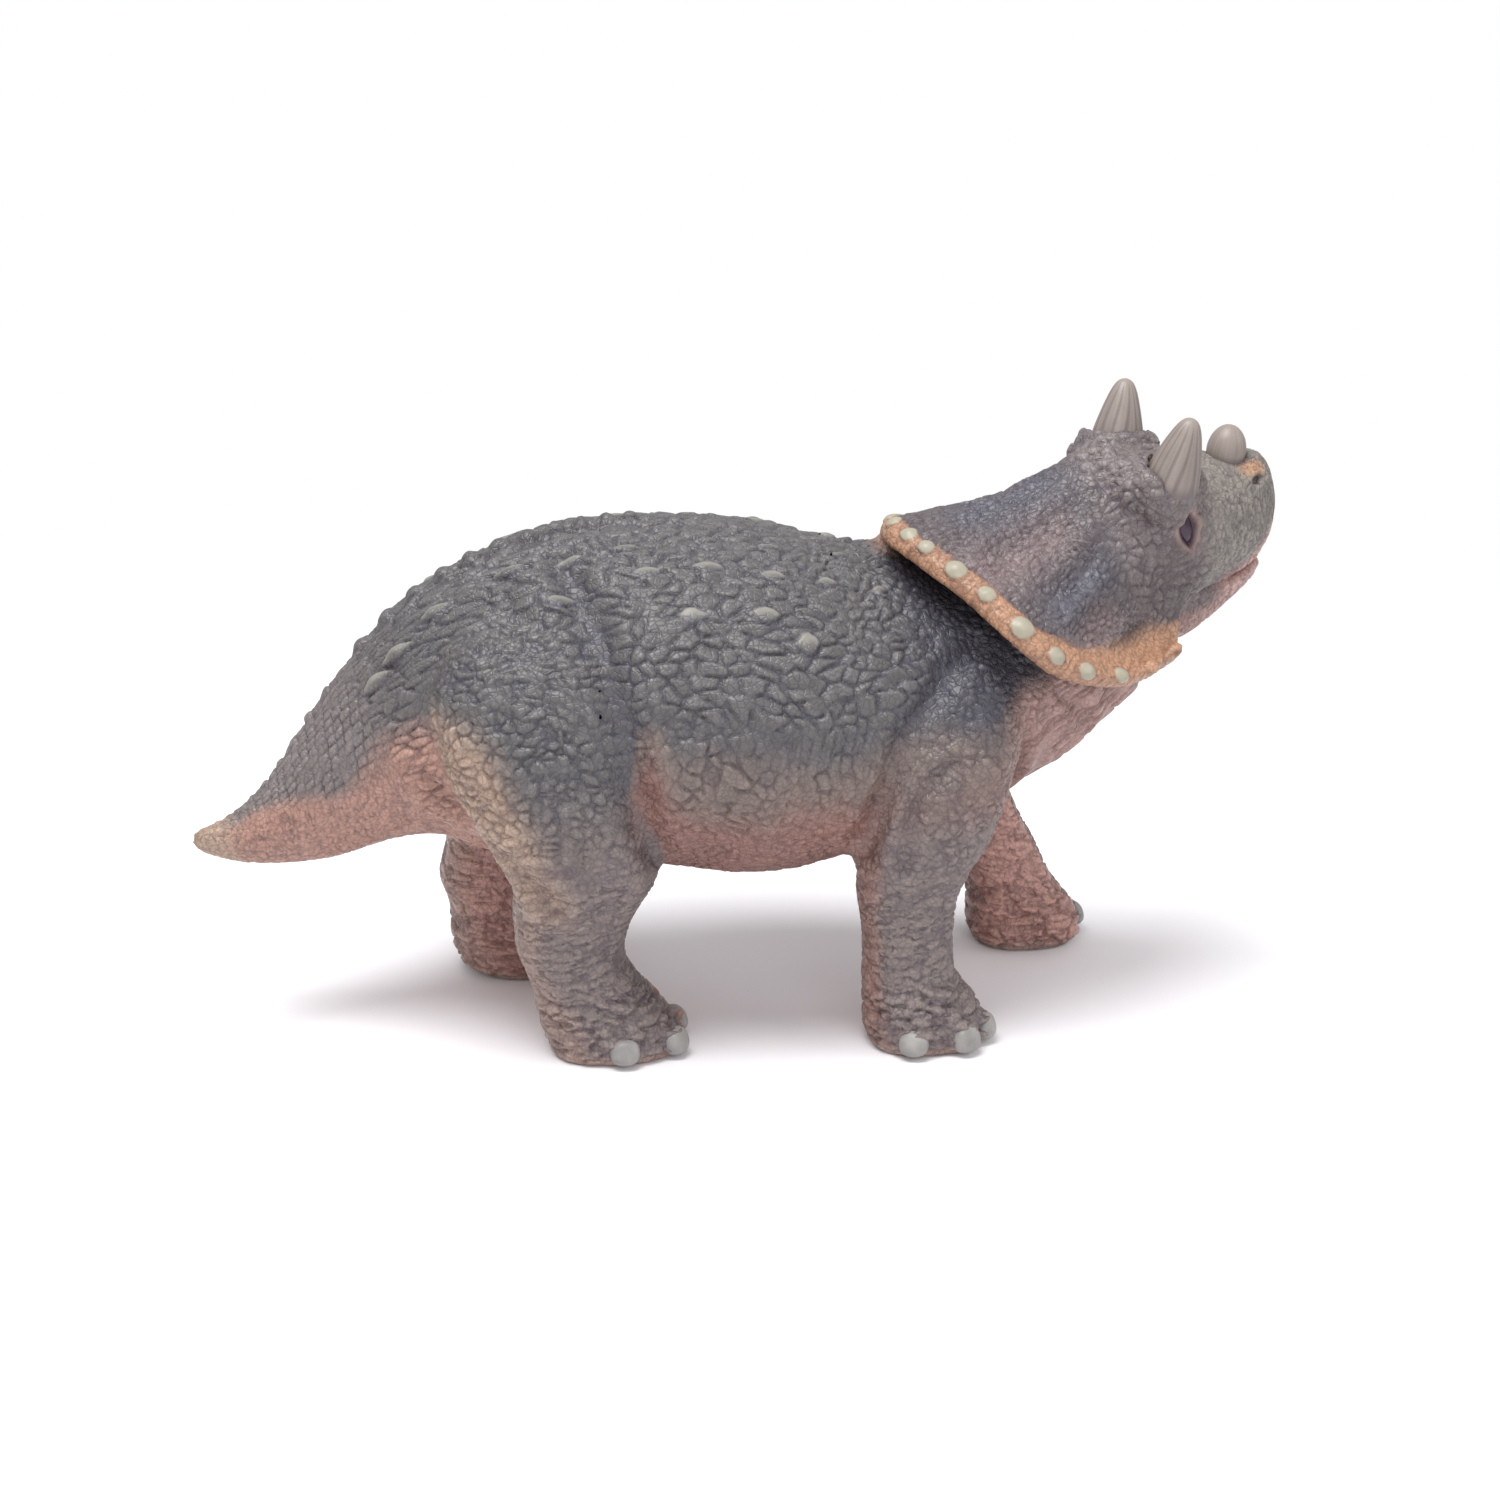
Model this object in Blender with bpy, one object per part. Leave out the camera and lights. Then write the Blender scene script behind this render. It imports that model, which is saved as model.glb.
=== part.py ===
"""Toy three-horned dinosaur figure, walking with its head raised and turned to its left.

Eleven cast pieces plug together: trunk, tail, four legs, head, lower jaw and three horns.
Lengths are in metres. +X runs along the body towards the head, +Y to the animal's left and +Z up.
The origin is on the ground, under the middle of the figure.
"""

import math
from collections import namedtuple

import bmesh
import bpy
from mathutils import Matrix, Vector

MM = 0.001

# Fits
SEAM_GAP = 0.3 * MM         # between two glued pieces
CUT_OVERRUN = 1.0 * MM      # how far a joined or cut shape runs past the face it crosses

# Trunk and tail
TRUNK_LENGTH = 73.0 * MM    # tail seam to neck seam, along the body
TRUNK_DEPTH = 36.0 * MM     # belly to back at the deepest
TRUNK_WIDTH = 42.0 * MM     # flank to flank at the widest
SPINE_HEIGHT = 35.0 * MM    # ground to the middle of the trunk
NECK_DEPTH = 20.9 * MM      # throat to nape, at the head's seam
NECK_WIDTH = 18.8 * MM
TAIL_LENGTH = 20.8 * MM     # tail seam to the last full section
TAIL_PEG_RADIUS = 4.0 * MM
TAIL_PEG_LENGTH = 6.0 * MM
SCUTE_LENGTH = 2.0 * MM     # raised plates on the flanks
SCUTE_WIDTH = 1.2 * MM
SCUTE_HEIGHT = 0.9 * MM     # from top to underside, half of it sunk
CREST_SPACING = 2.3 * MM    # between the knobs along the middle of the rump and tail

# Legs
HIND_LEG_GIRTH = 20.0 * MM  # front to back across the thigh
FORE_LEG_GIRTH = 14.0 * MM  # front to back across the shoulder
LEG_SEAT_SPACING = 14.0 * MM    # between the flat seats of a left and a right leg
LEG_PEG_RADIUS = 3.0 * MM
LEG_PEG_LENGTH = 4.0 * MM
NAIL_WIDTH = 3.2 * MM
NAIL_HEIGHT = 3.0 * MM
NAIL_BULGE = 0.8 * MM

# Head
SKULL_LENGTH = 26.0 * MM    # back of the skull to the front of the beak
SKULL_DEPTH = 19.0 * MM
SKULL_WIDTH = 15.0 * MM
FRILL_SWEEP = 28.8 * MM     # eyes to the rearmost edge of the frill
FRILL_SPREAD = 34.2 * MM    # side to side across the frill
FRILL_DROP = 14.9 * MM      # top edge of the frill down to its cheek tips
FRILL_THICKNESS = 2.4 * MM
FRILL_SAG = 1.6 * MM        # how far the face of the frill dips between skull and rim
STUD_DIAMETER = 1.9 * MM
STUD_HEIGHT = 1.2 * MM      # from face to underside, half of it sunk
EYE_LENGTH = 3.4 * MM
NECK_PLUG_RADIUS = 5.5 * MM
NECK_PLUG_LENGTH = 7.5 * MM
HEAD_TURN = math.radians(14.3)
HEAD_TILT = math.radians(7.4)
HEAD_ROLL = math.radians(6.7)

# Horns and jaw
BROW_HORN_LENGTH = 7.4 * MM
BROW_HORN_DIAMETER = 5.9 * MM
NOSE_HORN_LENGTH = 3.4 * MM
NOSE_HORN_DIAMETER = 4.6 * MM
HORN_SINK = 1.0 * MM        # how deep a horn's foot sits in the skull
HORN_PEG_RADIUS = 1.0 * MM
HORN_PEG_LENGTH = 1.5 * MM
JAW_LENGTH = 15.0 * MM
JAW_DEPTH = 6.7 * MM
JAW_WIDTH = 8.8 * MM
JAW_PEG_RADIUS = 1.4 * MM
JAW_PEG_LENGTH = 2.4 * MM

# Roundness of the meshes
TRUNK_SIDES = 28
NAPE_SIDES = 20
LEG_SIDES = 16
SKULL_SIDES = 24
JAW_SIDES = 16
FINE_BALL = (12, 8)         # faces round a moulded swelling and from pole to pole, for the larger ones
MIDDLE_BALL = (10, 6)
SMALL_BALL = (6, 4)
PLATE_BALL = (6, 3)
HORN_RIBS = 8
RIB_DEPTH_SHARE = 0.05
PEG_SIDES = 6
LEG_FULLNESS_SHARE = 0.8    # 1 gives an oval section, less a fuller one
STEPS_PER_SPAN = 3

# Sections of the trunk from the tail seam to the shoulders. Along in TRUNK_LENGTH from its middle, height in
# SPINE_HEIGHT, depth in TRUNK_DEPTH, width in TRUNK_WIDTH, then the slope of the spine in degrees.
TRUNK_SHARES = (
    (-0.500, 0.860, 0.575, 0.490, 27.0),
    (-0.429, 0.923, 0.765, 0.667, 16.0),
    (-0.342, 0.980, 0.887, 0.819, 8.0),
    (-0.233, 1.007, 0.965, 0.929, 2.0),
    (-0.110, 1.003, 1.003, 0.981, 0.0),
    (0.014, 0.971, 1.000, 1.000, -3.0),
    (0.137, 0.971, 0.890, 0.905, 2.0),
    (0.247, 1.010, 0.800, 0.743, 12.0),
)
# Sections of the neck from the shoulders to the head's seam: as above, but in NECK_DEPTH and NECK_WIDTH.
NECK_SHARES = (
    (0.336, 1.050, 1.215, 1.383, 25.0),
    (0.411, 1.125, 1.094, 1.148, 35.0),
    (0.473, 1.205, 1.000, 1.000, 42.0),
)
# Sections of the tail from its tip to the seam: distance from the seam in TAIL_LENGTH, then as above.
TAIL_SHARES = (
    (1.000, 0.608, 0.066, 0.048, -10.0),
    (0.850, 0.600, 0.132, 0.110, 12.0),
    (0.680, 0.617, 0.204, 0.171, 24.0),
    (0.480, 0.662, 0.302, 0.252, 34.0),
    (0.260, 0.755, 0.415, 0.348, 36.0),
)
TAIL_TIP_SWAY_SHARE = -0.05     # sideways, of TRUNK_WIDTH
TAIL_POINT_SHARE = 0.5          # size of the tail's blunt end, of its last full section
TAIL_POINT_REACH_SHARE = 0.7    # how far that end stands beyond it, of half its depth

# Raised plates on each flank: along in TRUNK_LENGTH from its middle, then how far down from the middle of the
# back, as a share of a half turn.
SCUTE_PLACE_SHARES = (
    (-0.480, 0.210), (-0.451, 0.179), (-0.405, 0.138), (-0.321, 0.126), (-0.266, 0.232), (-0.252, 0.132),
    (-0.178, 0.124), (-0.157, 0.193), (-0.105, 0.286), (-0.079, 0.181), (-0.012, 0.274), (0.004, 0.188),
    (0.004, 0.103), (0.045, 0.322), (0.087, 0.185), (0.122, 0.081), (0.180, 0.196),
)
# The knobs of the crest: where the row starts and ends in TRUNK_LENGTH from the trunk's middle, their length in
# CREST_SPACING, then width and height in the depth of the body there.
CREST_ROW_SHARES = (-0.700, -0.150)
CREST_SIZE_SHARES = (0.85, 0.110, 0.060)

# Sections of a leg from sole to hip: height in SPINE_HEIGHT, distance out from the midline in TRUNK_WIDTH, then
# length and width in the leg's girth.
HIND_LEG_SHARES = (
    (0.000, 0.269, 0.640, 0.545),
    (0.046, 0.269, 0.700, 0.590),
    (0.129, 0.269, 0.650, 0.580),
    (0.229, 0.269, 0.550, 0.545),
    (0.320, 0.276, 0.545, 0.530),
    (0.434, 0.288, 0.610, 0.570),
    (0.571, 0.307, 0.725, 0.640),
    (0.714, 0.314, 0.880, 0.680),
    (0.886, 0.315, 1.000, 0.700),
    (1.057, 0.300, 1.000, 0.700),
    (1.200, 0.275, 0.820, 0.600),
    (1.294, 0.245, 0.460, 0.375),
    (1.329, 0.229, 0.150, 0.150),
)
FORE_LEG_SHARES = (
    (0.000, 0.310, 0.800, 0.750),
    (0.046, 0.310, 0.900, 0.815),
    (0.120, 0.310, 0.840, 0.785),
    (0.211, 0.305, 0.690, 0.650),
    (0.349, 0.305, 0.670, 0.643),
    (0.486, 0.307, 0.760, 0.700),
    (0.614, 0.310, 0.929, 0.793),
    (0.757, 0.307, 0.986, 0.857),
    (0.900, 0.293, 0.986, 0.879),
    (1.034, 0.262, 0.879, 0.821),
    (1.146, 0.238, 0.614, 0.643),
    (1.200, 0.226, 0.214, 0.214),
)
# Where each of those sections lies along the body, in TRUNK_LENGTH from its middle: this is the stride.
RIGHT_HIND_STRIDE_SHARES = (-0.216, -0.214, -0.231, -0.255, -0.274, -0.270, -0.256, -0.271, -0.293, -0.318,
                            -0.327, -0.329, -0.329)
LEFT_HIND_STRIDE_SHARES = (-0.308, -0.326, -0.343, -0.358, -0.375, -0.352, -0.337, -0.322, -0.314, -0.319,
                           -0.327, -0.329, -0.329)
RIGHT_FORE_STRIDE_SHARES = (0.226, 0.229, 0.223, 0.206, 0.203, 0.202, 0.221, 0.242, 0.259, 0.271, 0.277, 0.278)
LEFT_FORE_STRIDE_SHARES = (0.450, 0.451, 0.445, 0.426, 0.397, 0.353, 0.321, 0.295, 0.278, 0.274, 0.277, 0.278)
LEFT_SPLAY_SHARE = 0.036        # how much further out the left soles stand, in TRUNK_WIDTH, fading to the hip
HIND_PEG_HEIGHT_SHARE = 1.03
FORE_PEG_HEIGHT_SHARE = 0.97
# Directions of the nails round a foot, in degrees from straight ahead towards the outside.
HIND_NAIL_TURNS = (87.0, 31.0, -20.0)
FORE_NAIL_TURNS = (104.0, 60.0, 13.0)

# Sections of the skull from back to beak: along in SKULL_LENGTH from the eyes, top and bottom in SKULL_DEPTH,
# width in SKULL_WIDTH.
SKULL_SHARES = (
    (-0.400, 0.330, -0.260, 0.700),
    (-0.250, 0.380, -0.480, 0.900),
    (-0.100, 0.400, -0.620, 1.000),
    (0.050, 0.365, -0.620, 0.980),
    (0.180, 0.310, -0.530, 0.880),
    (0.310, 0.290, -0.470, 0.740),
    (0.430, 0.275, -0.440, 0.600),
    (0.520, 0.250, -0.385, 0.470),
    (0.575, 0.180, -0.290, 0.330),
    (0.600, 0.060, -0.140, 0.180),
)
# Rim of the frill from its top middle down the right side: back in FRILL_SWEEP, out in half FRILL_SPREAD, and
# down from the top edge in FRILL_DROP. The root rows give where the frill leaves the skull, back in
# SKULL_LENGTH, out in half SKULL_WIDTH and up in SKULL_DEPTH.
FRILL_RIM_SHARES = (
    (1.000, 0.000, 0.000),
    (0.868, 0.556, 0.235),
    (0.753, 0.906, 0.505),
    (0.608, 1.000, 0.755),
    (0.323, 0.889, 0.980),
    (0.066, 0.690, 0.980),
)
FRILL_ROOT_SHARES = (
    (0.120, 0.000, 0.400),
    (0.130, 0.450, 0.270),
    (0.150, 0.760, 0.050),
    (0.120, 0.860, -0.210),
    (0.060, 0.860, -0.400),
    (-0.060, 0.800, -0.440),
)
FRILL_TOP_SHARE = 0.195     # height of the frill's top edge above the eyes, in SKULL_DEPTH
# The studs of each half of the rim: how far along it from the top middle, then how far out in the frill's breadth.
STUD_PLACE_SHARES = (0.042, 0.103, 0.200, 0.302, 0.420, 0.521, 0.620, 0.738, 0.865, 0.975)
STUD_OUT_SHARE = 0.93
# Cross-section of the frill from skull to rim and back: distance out in its breadth, and which way off its
# middle surface in half its thickness.
FRILL_PROFILE_SHARES = ((0.00, 1.6), (0.22, 1.0), (0.45, 0.85), (0.68, 0.85), (0.88, 1.05), (0.97, 0.9),
                        (1.00, 0.0), (0.97, -0.9), (0.80, -1.0), (0.50, -1.0), (0.22, -1.3), (0.00, -2.2))

# Places on the skull: along in SKULL_LENGTH, out in half SKULL_WIDTH, up in SKULL_DEPTH.
NECK_SEAM_PLACE_SHARES = (-0.290, 0.000, -0.475)
BROW_HORN_PLACE_SHARES = (0.026, 0.780, 0.290)
NOSE_HORN_PLACE_SHARES = (0.402, 0.000, 0.235)
EYE_PLACE_SHARES = (0.080, 0.860, 0.030)
BROW_PLACE_SHARES = (-0.010, 0.600, 0.270)
NOSTRIL_PLACE_SHARES = (0.530, 0.340, 0.060)
JAW_PLACE_SHARES = (-0.040, 0.000, -0.450)
# Sizes of the moulded swellings, along, across and up: the brow in the skull's own length, width and depth, the
# eyeball and the nostril in EYE_LENGTH.
BROW_SIZE_SHARES = (0.420, 0.540, 0.370)
EYE_SIZE_SHARES = (1.000, 0.700, 0.800)
NOSTRIL_SIZE_SHARES = (0.450, 0.500, 0.300)
# Where the nape ends inside the skull, and its size there in SKULL_WIDTH and SKULL_DEPTH.
NAPE_END_PLACE_SHARES = (0.000, 0.000, -0.200)
NAPE_END_SIZE_SHARES = (0.350, 0.300)
BROW_HORN_LEAN = (math.radians(9.0), math.radians(16.0))    # outwards, then forwards
NOSE_HORN_LEAN = (0.0, math.radians(12.0))

# Sections of the lower jaw from its hinge end to its beak: along in JAW_LENGTH, underside in JAW_DEPTH, width in
# JAW_WIDTH. Its top is the flat mouth line.
JAW_SHARES = (
    (0.000, 0.700, 0.700),
    (0.060, 0.900, 0.920),
    (0.250, 1.000, 1.000),
    (0.450, 0.900, 0.900),
    (0.650, 0.700, 0.740),
    (0.830, 0.500, 0.560),
    (0.950, 0.350, 0.380),
    (1.000, 0.200, 0.180),
)
JAW_RISE = math.radians(4.0)    # slope of the mouth line
JAW_PEG_PLACE_SHARE = 0.25

# Radius of a horn from its foot to its tip: height in its length, radius in half its diameter.
HORN_SHARES = ((0.00, 1.00), (0.20, 0.92), (0.42, 0.79), (0.64, 0.63), (0.82, 0.47), (0.94, 0.30), (1.00, 0.10))
NOSE_HORN_SHARES = ((0.00, 1.00), (0.30, 1.00), (0.60, 0.86), (0.82, 0.62), (0.95, 0.34), (1.00, 0.12))

Section = namedtuple("Section", "centre side rise half_side half_rise")


def clear_scene():
    """Remove whatever the scene holds."""
    for thing in list(bpy.data.objects):
        bpy.data.objects.remove(thing, do_unlink=True)


def linear(channel):
    """A display colour value from 0 to 255 as linear light."""
    value = channel / 255
    return value / 12.92 if value <= 0.04045 else ((value + 0.055) / 1.055) ** 2.4


def paint(name, colour, roughness):
    """Matt paint on plastic, in a colour given from 0 to 255."""
    material = bpy.data.materials.new(name)
    material.use_nodes = True
    shader = material.node_tree.nodes["Principled BSDF"]
    shader.inputs["Base Color"].default_value = (*(linear(c) for c in colour), 1.0)
    shader.inputs["Roughness"].default_value = roughness
    shader.inputs["Metallic"].default_value = 0.0
    return material


def hide_paint():
    """Grey-green of the back and flanks."""
    return paint("hide_paint", (110, 112, 108), 0.6)


def tail_paint():
    """Lighter tan grey of the tail."""
    return paint("tail_paint", (132, 126, 114), 0.6)


def leg_paint():
    """Grey of the legs that face the light."""
    return paint("leg_paint", (122, 116, 110), 0.6)


def far_leg_paint():
    """Reddish brown of the left legs' inner faces."""
    return paint("far_leg_paint", (140, 104, 94), 0.6)


def head_paint():
    """Mauve grey of the head."""
    return paint("head_paint", (120, 110, 110), 0.55)


def jaw_paint():
    """Pink of the lower jaw."""
    return paint("jaw_paint", (170, 138, 130), 0.55)


def horn_paint():
    """Light taupe of the horns."""
    return paint("horn_paint", (165, 152, 145), 0.5)


def blended(before, start, end, after, t):
    """The number at t of the way from start to end, on a smooth curve through all four."""
    rise = end - before
    bend = 2 * before - 5 * start + 4 * end - after
    twist = 3 * start - before - 3 * end + after
    return start + (rise * t + bend * t ** 2 + twist * t ** 3) / 2


def blend_rows(rows, steps):
    """Rows of numbers with more rows between them, on a smooth curve through the given ones."""
    padded = [rows[0], *rows, rows[-1]]
    smooth = []
    for index in range(1, len(padded) - 2):
        around = list(zip(*padded[index - 1:index + 3]))
        for step in range(steps):
            smooth.append(tuple(blended(*numbers, step / steps) for numbers in around))
    smooth.append(tuple(rows[-1]))
    return smooth


def ring_of(section, sides, grow=0.0, turn=0.0):
    """Points round an oval section, made larger all round by grow, the first at a turn from its side."""
    points = []
    for index in range(sides):
        angle = 2 * math.pi * index / sides + turn
        across = section.side * (section.half_side + grow) * math.cos(angle)
        upward = section.rise * (section.half_rise + grow) * math.sin(angle)
        points.append(section.centre + across + upward)
    return points


def loft(name, rings):
    """A closed mesh through rings of points, with flat ends."""
    shape = bmesh.new()
    loops = [[shape.verts.new(point) for point in ring] for ring in rings]
    count = len(loops[0])
    for lower, upper in zip(loops, loops[1:]):
        for index in range(count):
            after = (index + 1) % count
            shape.faces.new((lower[index], lower[after], upper[after], upper[index]))
    shape.faces.new(loops[0])
    shape.faces.new(loops[-1])
    bmesh.ops.recalc_face_normals(shape, faces=shape.faces)
    if shape.calc_volume(signed=True) < 0:
        bmesh.ops.reverse_faces(shape, faces=shape.faces)
    mesh = bpy.data.meshes.new(name)
    shape.to_mesh(mesh)
    shape.free()
    return mesh


def spheroids(name, balls, roundness):
    """One mesh of separate spheroids, each given by a matrix that shapes and places a unit ball."""
    shape = bmesh.new()
    across, along = roundness
    for matrix in balls:
        bmesh.ops.create_uvsphere(shape, u_segments=across, v_segments=along, radius=1.0, matrix=matrix)
    bmesh.ops.recalc_face_normals(shape, faces=shape.faces)
    mesh = bpy.data.meshes.new(name)
    shape.to_mesh(mesh)
    shape.free()
    return mesh


def prism(name, start, direction, length, radius, grow=0.0):
    """A keyed peg: a six-sided bar from start along direction, made larger all round by grow."""
    axis = direction.normalized()
    side = axis.orthogonal().normalized()
    rise = axis.cross(side)
    sections = [Section(start + axis * reach, side, rise, radius, radius) for reach in (0, length + grow)]
    return loft(name, [ring_of(section, PEG_SIDES, grow) for section in sections])


def add_piece(name, mesh, material, parent):
    """A visible piece of the figure."""
    mesh.materials.append(material)
    mesh.shade_smooth()
    mesh.set_sharp_from_angle(angle=math.radians(50))
    piece = bpy.data.objects.new(name, mesh)
    bpy.context.scene.collection.objects.link(piece)
    piece.parent = parent
    return piece


def add_helper(mesh, parent):
    """A shape that only joins or cuts a piece."""
    helper = bpy.data.objects.new(mesh.name, mesh)
    bpy.context.scene.collection.objects.link(helper)
    helper.parent = parent
    helper.hide_render = True
    helper.display_type = "WIRE"
    return helper


def combine(piece, operation, helpers):
    """Join the shapes of all the helpers to a piece in one step with UNION, or cut them away with DIFFERENCE."""
    name = piece.name + "_" + operation.lower()
    together = bpy.data.collections.new(name)
    for helper in helpers:
        together.objects.link(helper)
    modifier = piece.modifiers.new(name, "BOOLEAN")
    modifier.operation = operation
    modifier.solver = "EXACT"
    modifier.operand_type = "COLLECTION"
    modifier.collection = together


def spine_section(x, y, z, half_depth, half_width, slope):
    """One section of tail, trunk or neck, square to a spine that slopes by the given degrees."""
    lean = math.radians(slope)
    rise = Vector((-math.sin(lean), 0, math.cos(lean)))
    return Section(Vector((x, y, z)), Vector((0, 1, 0)), rise, half_width, half_depth)


def spine_rows():
    """Every section of the spine from tail tip to neck seam, as numbers that can be blended."""
    seam = TRUNK_SHARES[0][0] * TRUNK_LENGTH
    places = []
    for back, *rest in TAIL_SHARES:
        sway = TAIL_TIP_SWAY_SHARE * TRUNK_WIDTH * back ** 2
        places.append((seam - back * TAIL_LENGTH, sway, TRUNK_DEPTH, TRUNK_WIDTH, *rest))
    places.extend((along * TRUNK_LENGTH, 0.0, TRUNK_DEPTH, TRUNK_WIDTH, *rest) for along, *rest in TRUNK_SHARES)
    places.extend((along * TRUNK_LENGTH, 0.0, NECK_DEPTH, NECK_WIDTH, *rest) for along, *rest in NECK_SHARES)
    rows = []
    for x, y, full_depth, full_width, height, depth, width, slope in places:
        rows.append((x, y, height * SPINE_HEIGHT, depth * full_depth / 2, width * full_width / 2, slope))
    return blend_rows(rows, STEPS_PER_SPAN)


def spine_sections():
    """The sections of the tail and those of the trunk, which share the one at the seam."""
    sections = [spine_section(*row) for row in spine_rows()]
    seam = len(TAIL_SHARES) * STEPS_PER_SPAN
    return sections[:seam + 1], sections[seam:]


def axis_of(section):
    """The way forward through a section."""
    return section.side.cross(section.rise).normalized()


def moved(section, distance):
    """A section shifted along its own axis."""
    return section._replace(centre=section.centre + axis_of(section) * distance)


def trunk_mesh(name, grow=0.0):
    """Trunk and neck. A grown one also runs that far past its two end seams."""
    sections = spine_sections()[1]
    sections = [moved(sections[0], -grow), *sections[1:-1], moved(sections[-1], grow)]
    return loft(name, [ring_of(section, TRUNK_SIDES, grow) for section in sections])


def tail_mesh():
    """Tail with a rounded tip, standing off the trunk by the seam."""
    sections = spine_sections()[0]
    tip = sections[0]
    reach = TAIL_POINT_REACH_SHARE * tip.half_rise
    small = {"half_side": TAIL_POINT_SHARE * tip.half_side, "half_rise": TAIL_POINT_SHARE * tip.half_rise}
    nose = moved(tip, -reach)._replace(**small)
    sections = [nose, *sections[:-1], moved(sections[-1], -SEAM_GAP)]
    return loft("tail", [ring_of(section, TRUNK_SIDES) for section in sections])


def skin_matrix(sections, forward, turn):
    """A place on the skin with X along the body and Z outwards, at a turn from the left flank over the back."""
    pairs = list(zip(sections, sections[1:]))
    first, second = next((pair for pair in pairs if pair[1].centre.x >= forward), pairs[-1])
    t = (forward - first.centre.x) / (second.centre.x - first.centre.x)
    centre, side, rise = (getattr(first, key).lerp(getattr(second, key), t) for key in ("centre", "side", "rise"))
    half_side = first.half_side + (second.half_side - first.half_side) * t
    half_rise = first.half_rise + (second.half_rise - first.half_rise) * t
    across, up = math.cos(turn), math.sin(turn)
    outwards = (side * across / half_side + rise * up / half_rise).normalized()
    along = side.cross(rise).normalized()
    place = centre + side * half_side * across + rise * half_rise * up
    columns = (along, outwards.cross(along), outwards)
    return Matrix.Translation(place) @ Matrix(columns).transposed().to_4x4()


def scute_mesh():
    """The raised plates of both flanks, half sunk in the skin."""
    sections = spine_sections()[1]
    size = Matrix.Diagonal((SCUTE_LENGTH / 2, SCUTE_WIDTH / 2, SCUTE_HEIGHT / 2, 1))
    balls = []
    for along, down in SCUTE_PLACE_SHARES:
        for side in (-1, 1):
            turn = math.pi / 2 - side * down * math.pi
            balls.append(skin_matrix(sections, along * TRUNK_LENGTH, turn) @ size)
    return spheroids("scutes", balls, PLATE_BALL)


def crest_mesh(name, sections, ends):
    """Knobs along the middle of the back, between two places along the body, growing with its depth."""
    length, width, height = CREST_SIZE_SHARES
    first, last = ends
    count = round((last - first) / CREST_SPACING)
    balls = []
    for number in range(count):
        forward = first + (number + 1 / 2) * (last - first) / count
        section = min(sections, key=lambda each: abs(each.centre.x - forward))
        depth = 2 * section.half_rise
        size = Matrix.Diagonal((length * CREST_SPACING / 2, width * depth / 2, height * depth / 2, 1))
        turned = Matrix.Rotation(math.pi / PLATE_BALL[0], 4, "Z")
        balls.append(skin_matrix(sections, forward, math.pi / 2) @ size @ turned)
    return spheroids(name, balls, PLATE_BALL)


def add_trunk(root):
    """Trunk and neck, with the plates on its flanks and the crest along its rump."""
    trunk = add_piece("trunk", trunk_mesh("trunk"), hide_paint(), root)
    sections = spine_sections()[1]
    crest = crest_mesh("trunk_crest", sections, (sections[0].centre.x, CREST_ROW_SHARES[1] * TRUNK_LENGTH))
    combine(trunk, "UNION", [add_helper(mesh, root) for mesh in (scute_mesh(), crest)])
    return trunk


def leg_rows(sections, side, stride, girth):
    """Sections of one leg as real sizes: height, forward, outward, half length and half width."""
    rows = []
    for (height, out, length, width), forward in zip(sections, stride):
        splay = LEFT_SPLAY_SHARE * max(0, 1 - height) if side > 0 else 0
        rows.append((height * SPINE_HEIGHT, forward * TRUNK_LENGTH, (out + splay) * TRUNK_WIDTH,
                     length * girth / 2, width * girth / 2))
    return blend_rows(rows, STEPS_PER_SPAN - 1)


def fuller(value):
    """A sine or cosine pushed outwards, which turns an oval into a fuller section."""
    return math.copysign(abs(value) ** LEG_FULLNESS_SHARE, value)


def leg_point(row, side, angle, grow=0.0):
    """A point of a leg's skin in one section, at an angle from straight ahead towards the outside."""
    height, forward, out, half_length, half_width = row
    x = forward + (half_length + grow) * fuller(math.cos(angle))
    y = out + (half_width + grow) * fuller(math.sin(angle))
    return Vector((x, side * max(LEG_SEAT_SPACING / 2 - grow, y), height))


def leg_mesh(name, rows, side, grow=0.0):
    """A leg from its flat sole to its hip, with the flat seat that faces the trunk's middle."""
    turns = [2 * math.pi * index / LEG_SIDES for index in range(LEG_SIDES)]
    rings = [[leg_point(row, side, turn, grow) for turn in turns] for row in rows]
    for point in rings[-1]:
        point.z += grow
    return loft(name, rings)


def nail_mesh(name, rows, side, turns):
    """The nails round one foot, half sunk into its edge just above the sole."""
    height = NAIL_HEIGHT / 2 + SEAM_GAP
    row = min(rows, key=lambda each: abs(each[0] - height))
    balls = []
    for turn in turns:
        angle = math.radians(turn)
        place = leg_point(row, side, angle)
        place.z = height
        facing = Matrix.Rotation(side * angle, 4, "Z")
        size = Matrix.Diagonal((NAIL_BULGE, NAIL_WIDTH / 2, NAIL_HEIGHT / 2, 1))
        balls.append(Matrix.Translation(place) @ facing @ size)
    return spheroids(name, balls, MIDDLE_BALL)


def leg_peg(name, rows, side, height_share, grow=0.0):
    """The keyed peg of a leg, from inside the leg through its seat towards the trunk's middle."""
    height = height_share * SPINE_HEIGHT
    forward = min(rows, key=lambda row: abs(row[0] - height))[1]
    start = Vector((forward, side * (LEG_SEAT_SPACING / 2 + CUT_OVERRUN), height))
    return prism(name, start, Vector((0, -side, 0)), LEG_PEG_LENGTH + CUT_OVERRUN, LEG_PEG_RADIUS, grow)


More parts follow.
